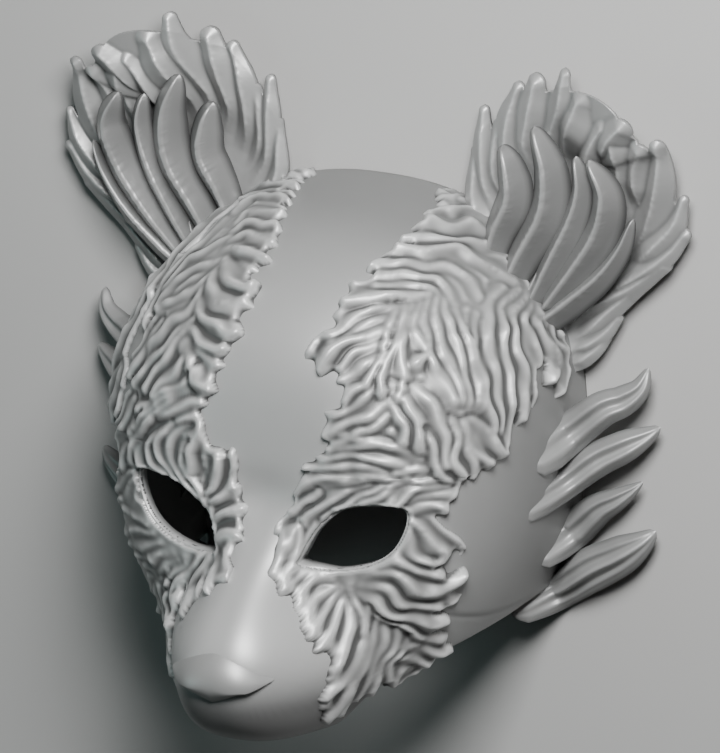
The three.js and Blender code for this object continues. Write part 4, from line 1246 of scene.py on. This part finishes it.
def painted_light_tone_group():
    """Colour of the cast with painted light: its own colour times a value between Groove, the painted shade,
    and
    Ridge, the painted highlight, following the painted light held in the carved attribute, and times a faint
    mottle."""
    group = bpy.data.node_groups.new("painted_light_tone", "ShaderNodeTree")
    input_socket(group, "Cast", "NodeSocketColor", (0.5, 0.5, 0.5, 1))
    input_socket(group, "Groove", "NodeSocketFloat", 0.5)
    input_socket(group, "Ridge", "NodeSocketFloat", 1.3)
    group.interface.new_socket(name="Color", in_out="OUTPUT", socket_type="NodeSocketColor")
    nodes, links = group.nodes, group.links
    enter = nodes.new("NodeGroupInput")
    leave = nodes.new("NodeGroupOutput")
    # The carved attribute holds the painted shade and highlight
    carved = nodes.new("ShaderNodeAttribute")
    carved.attribute_name = "carved"
    spread = nodes.new("ShaderNodeMapRange")
    spread.inputs["From Min"].default_value = 0.1
    spread.inputs["From Max"].default_value = 0.9
    links.new(carved.outputs["Fac"], spread.inputs["Value"])
    links.new(enter.outputs["Groove"], spread.inputs["To Min"])
    links.new(enter.outputs["Ridge"], spread.inputs["To Max"])
    place = nodes.new("ShaderNodeTexCoord")
    mottle = nodes.new("ShaderNodeTexNoise")
    mottle.inputs["Scale"].default_value = 90.0
    mottle.inputs["Detail"].default_value = 4.0
    links.new(place.outputs["Object"], mottle.inputs["Vector"])
    faint = nodes.new("ShaderNodeMapRange")
    faint.inputs["To Min"].default_value = 0.97
    faint.inputs["To Max"].default_value = 1.03
    links.new(mottle.outputs["Fac"], faint.inputs["Value"])
    both = nodes.new("ShaderNodeMath")
    both.operation = "MULTIPLY"
    links.new(spread.outputs["Result"], both.inputs[0])
    links.new(faint.outputs["Result"], both.inputs[1])
    tint = nodes.new("ShaderNodeVectorMath")
    tint.operation = "SCALE"
    links.new(enter.outputs["Cast"], tint.inputs[0])
    links.new(both.outputs["Value"], tint.inputs["Scale"])
    links.new(tint.outputs["Vector"], leave.inputs["Color"])
    return group


def cast_grain_group():
    """Normal of the cast: a very fine grain."""
    group = bpy.data.node_groups.new("cast_grain", "ShaderNodeTree")
    input_socket(group, "Strength", "NodeSocketFloat", 0.1)
    input_socket(group, "Scale", "NodeSocketFloat", 900.0)
    group.interface.new_socket(name="Normal", in_out="OUTPUT", socket_type="NodeSocketVector")
    nodes, links = group.nodes, group.links
    enter = nodes.new("NodeGroupInput")
    leave = nodes.new("NodeGroupOutput")
    place = nodes.new("ShaderNodeTexCoord")
    grain = nodes.new("ShaderNodeTexNoise")
    grain.inputs["Detail"].default_value = 3.0
    links.new(place.outputs["Object"], grain.inputs["Vector"])
    links.new(enter.outputs["Scale"], grain.inputs["Scale"])
    bump = nodes.new("ShaderNodeBump")
    bump.inputs["Distance"].default_value = 0.0002
    links.new(enter.outputs["Strength"], bump.inputs["Strength"])
    links.new(grain.outputs["Fac"], bump.inputs["Height"])
    links.new(bump.outputs["Normal"], leave.inputs["Normal"])
    return group


# Cast: the groups that its finishes share, one of them its painted light, its own colour and its metallic
# sheen
PAINTED_LIGHT_TONE = painted_light_tone_group()
CAST_GRAIN = cast_grain_group()
CAST_COLOUR = (0.4, 0.405, 0.403)
SHEEN = 0.35


def cast_finish(name, roughness, groove, ridge, grain, share=1.0):
    """Grey cast plastic with a soft gloss, its colour a share of the plain cast's: a share below one is
    painted shade on the one grey, and groove and ridge set its painted shade and highlight.
    """
    finish = bpy.data.materials.new(name)
    finish.use_nodes = True
    nodes, links = finish.node_tree.nodes, finish.node_tree.links
    shader = nodes["Principled BSDF"]
    shader.inputs["Roughness"].default_value = roughness
    shader.inputs["Metallic"].default_value = SHEEN
    tone = nodes.new("ShaderNodeGroup")
    tone.node_tree = PAINTED_LIGHT_TONE
    tone.inputs["Cast"].default_value = [part * share for part in CAST_COLOUR] + [1]
    tone.inputs["Groove"].default_value = groove
    tone.inputs["Ridge"].default_value = ridge
    links.new(tone.outputs["Color"], shader.inputs["Base Color"])
    fine = nodes.new("ShaderNodeGroup")
    fine.node_tree = CAST_GRAIN
    fine.inputs["Strength"].default_value = grain
    links.new(fine.outputs["Normal"], shader.inputs["Normal"])
    return finish


# Painted light: groove darkens grooves, ridge lights crests; shares 0.96, 0.62, 0.88 paint fur, tall ear
# locks, nose in shade
SHELL_FINISH = cast_finish("smooth_cast", roughness=0.46, groove=0.5, ridge=1.2, grain=0.05)
FUR_FINISH = cast_finish("carved_fur_cast", roughness=0.46, groove=0.26, ridge=1.6, grain=0.1, share=0.96)
EAR_FINISH = cast_finish("carved_ear_cast", roughness=0.4, groove=0.25, ridge=1.75, grain=0.16)
SHADED_LOCK_FINISH = cast_finish("ear_lock_shaded_cast", roughness=0.4, groove=0.3, ridge=1.7, grain=0.16, share=0.62)
NOSE_FINISH = cast_finish("smooth_nose_cast", roughness=0.42, groove=0.85, ridge=1.1, grain=0.05, share=0.88)


def dress(piece, node):
    """Put a piece on the mask's one body, in the place of a solid, and hide that solid."""
    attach(piece, "root")
    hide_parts(node)


# The mask's pieces, each in place of one solid
place, groups, tone = mask_shell()
dress(put_mesh("shell", place, groups, SHELL_FINISH, tone), "mask_shell")
place, groups, tone = nose_pad()
dress(put_mesh("nose", place, groups, NOSE_FINISH, tone), "nose_pad")
for word, side in (("left", 1), ("right", -1)):
    place, groups, tone = fur_stripe(side)
    dress(put_mesh(f"fur_{word}", place, groups, FUR_FINISH, tone), f"fur_stripe_{word}")
    place, groups, tone = ear(side)
    dress(put_mesh(f"ear_dish_{word}", place, groups, EAR_FINISH, tone), f"ear_{word}")
    place, groups, tone = ear_tuft(side)
    dress(put_mesh(f"ear_locks_{word}", place, groups, SHADED_LOCK_FINISH, tone), f"ear_tuft_{word}")


def plain_finish(name, colour, roughness):
    """A finish of one colour."""
    finish = bpy.data.materials.new(name)
    finish.use_nodes = True
    shader = finish.node_tree.nodes["Principled BSDF"]
    shader.inputs["Base Color"].default_value = colour
    shader.inputs["Roughness"].default_value = roughness
    return finish


# Stage, in metres: a square floor under the rear rim
FLOOR_HALF = 6.0
corners = [(x * FLOOR_HALF, y * FLOOR_HALF, 0) for x, y in ((-1, -1), (1, -1), (1, 1), (-1, 1))]
floor_mesh = bpy.data.meshes.new("floor")
floor_mesh.from_pydata(corners, [], [(0, 1, 2, 3)])
floor_mesh.materials.append(plain_finish("pale_floor", (0.48, 0.48, 0.475, 1), 0.8))
floor = bpy.data.objects.new("floor", floor_mesh)
bpy.context.scene.collection.objects.link(floor)


# Height over the floor of the place that the lights face, in metres
LIT_HEIGHT = 0.06


def soft_light(name, way, distance, size, power, colour):
    """A square light at a distance from the face's middle, facing it. Its way is in the picture: right,
    up and towards the camera."""
    right, up, near = way
    direction = ACROSS * right - DOWN * up + SIGHT * near
    direction = direction / np.linalg.norm(direction)
    light = bpy.data.lights.new(name, "AREA")
    light.size = size
    light.energy = power
    light.color = colour
    item = bpy.data.objects.new(name, light)
    aim = np.array([0.0, FACE_Y * MM, LIT_HEIGHT])
    item.location = aim + direction * distance
    item.rotation_mode = "QUATERNION"
    item.rotation_quaternion = Vector(-direction).to_track_quat("-Z", "Y")
    bpy.context.scene.collection.objects.link(item)


soft_light("key", way=(0.08, 0.42, 1.0), distance=0.8, size=0.3, power=11.4, colour=(1.0, 0.995, 0.99))
soft_light("cool_side", way=(-1.0, -0.25, 0.2), distance=1.2, size=0.5, power=1.2, colour=(0.7, 0.97, 0.95))
soft_light("warm_side", way=(1.0, -0.2, 0.3), distance=1.2, size=0.5, power=0.9, colour=(1.0, 0.88, 0.86))

# Faint light from all round
world = bpy.data.worlds.new("studio")
world.use_nodes = True
world.node_tree.nodes["Background"].inputs["Color"].default_value = (0.9, 0.93, 0.95, 1)
world.node_tree.nodes["Background"].inputs["Strength"].default_value = 0.015
bpy.context.scene.world = world

# Camera: far off on the picture's sight line, turned to the picture's axes, its distances in metres
CAMERA_DISTANCE = 6.0
CAMERA_REACH = 50.0
SENSOR = 36.0


def place_camera():
    """A long lens whose picture is as high as the photographed scene at the face's distance."""
    camera = bpy.data.cameras.new("camera")
    camera.sensor_fit = "VERTICAL"
    camera.sensor_height = SENSOR
    camera.lens = SENSOR * CAMERA_DISTANCE / (PICTURE[1] / PIXELS_PER_MM * MM)
    camera.clip_end = CAMERA_REACH
    right = (PICTURE[0] / 2 - MIDDLE_PIXEL[0]) / PIXELS_PER_MM
    down = (PICTURE[1] / 2 - MIDDLE_PIXEL[1]) / PIXELS_PER_MM
    aim = (ACROSS * right + DOWN * down + (0.0, FACE_Y, 0.0)) * MM
    item = bpy.data.objects.new("camera", camera)
    spot = aim + SIGHT * CAMERA_DISTANCE
    turn = Matrix([ACROSS, -DOWN, SIGHT]).transposed().to_4x4()
    item.matrix_world = Matrix.Translation(Vector(spot)) @ turn
    bpy.context.scene.collection.objects.link(item)
    bpy.context.scene.camera = item


place_camera()
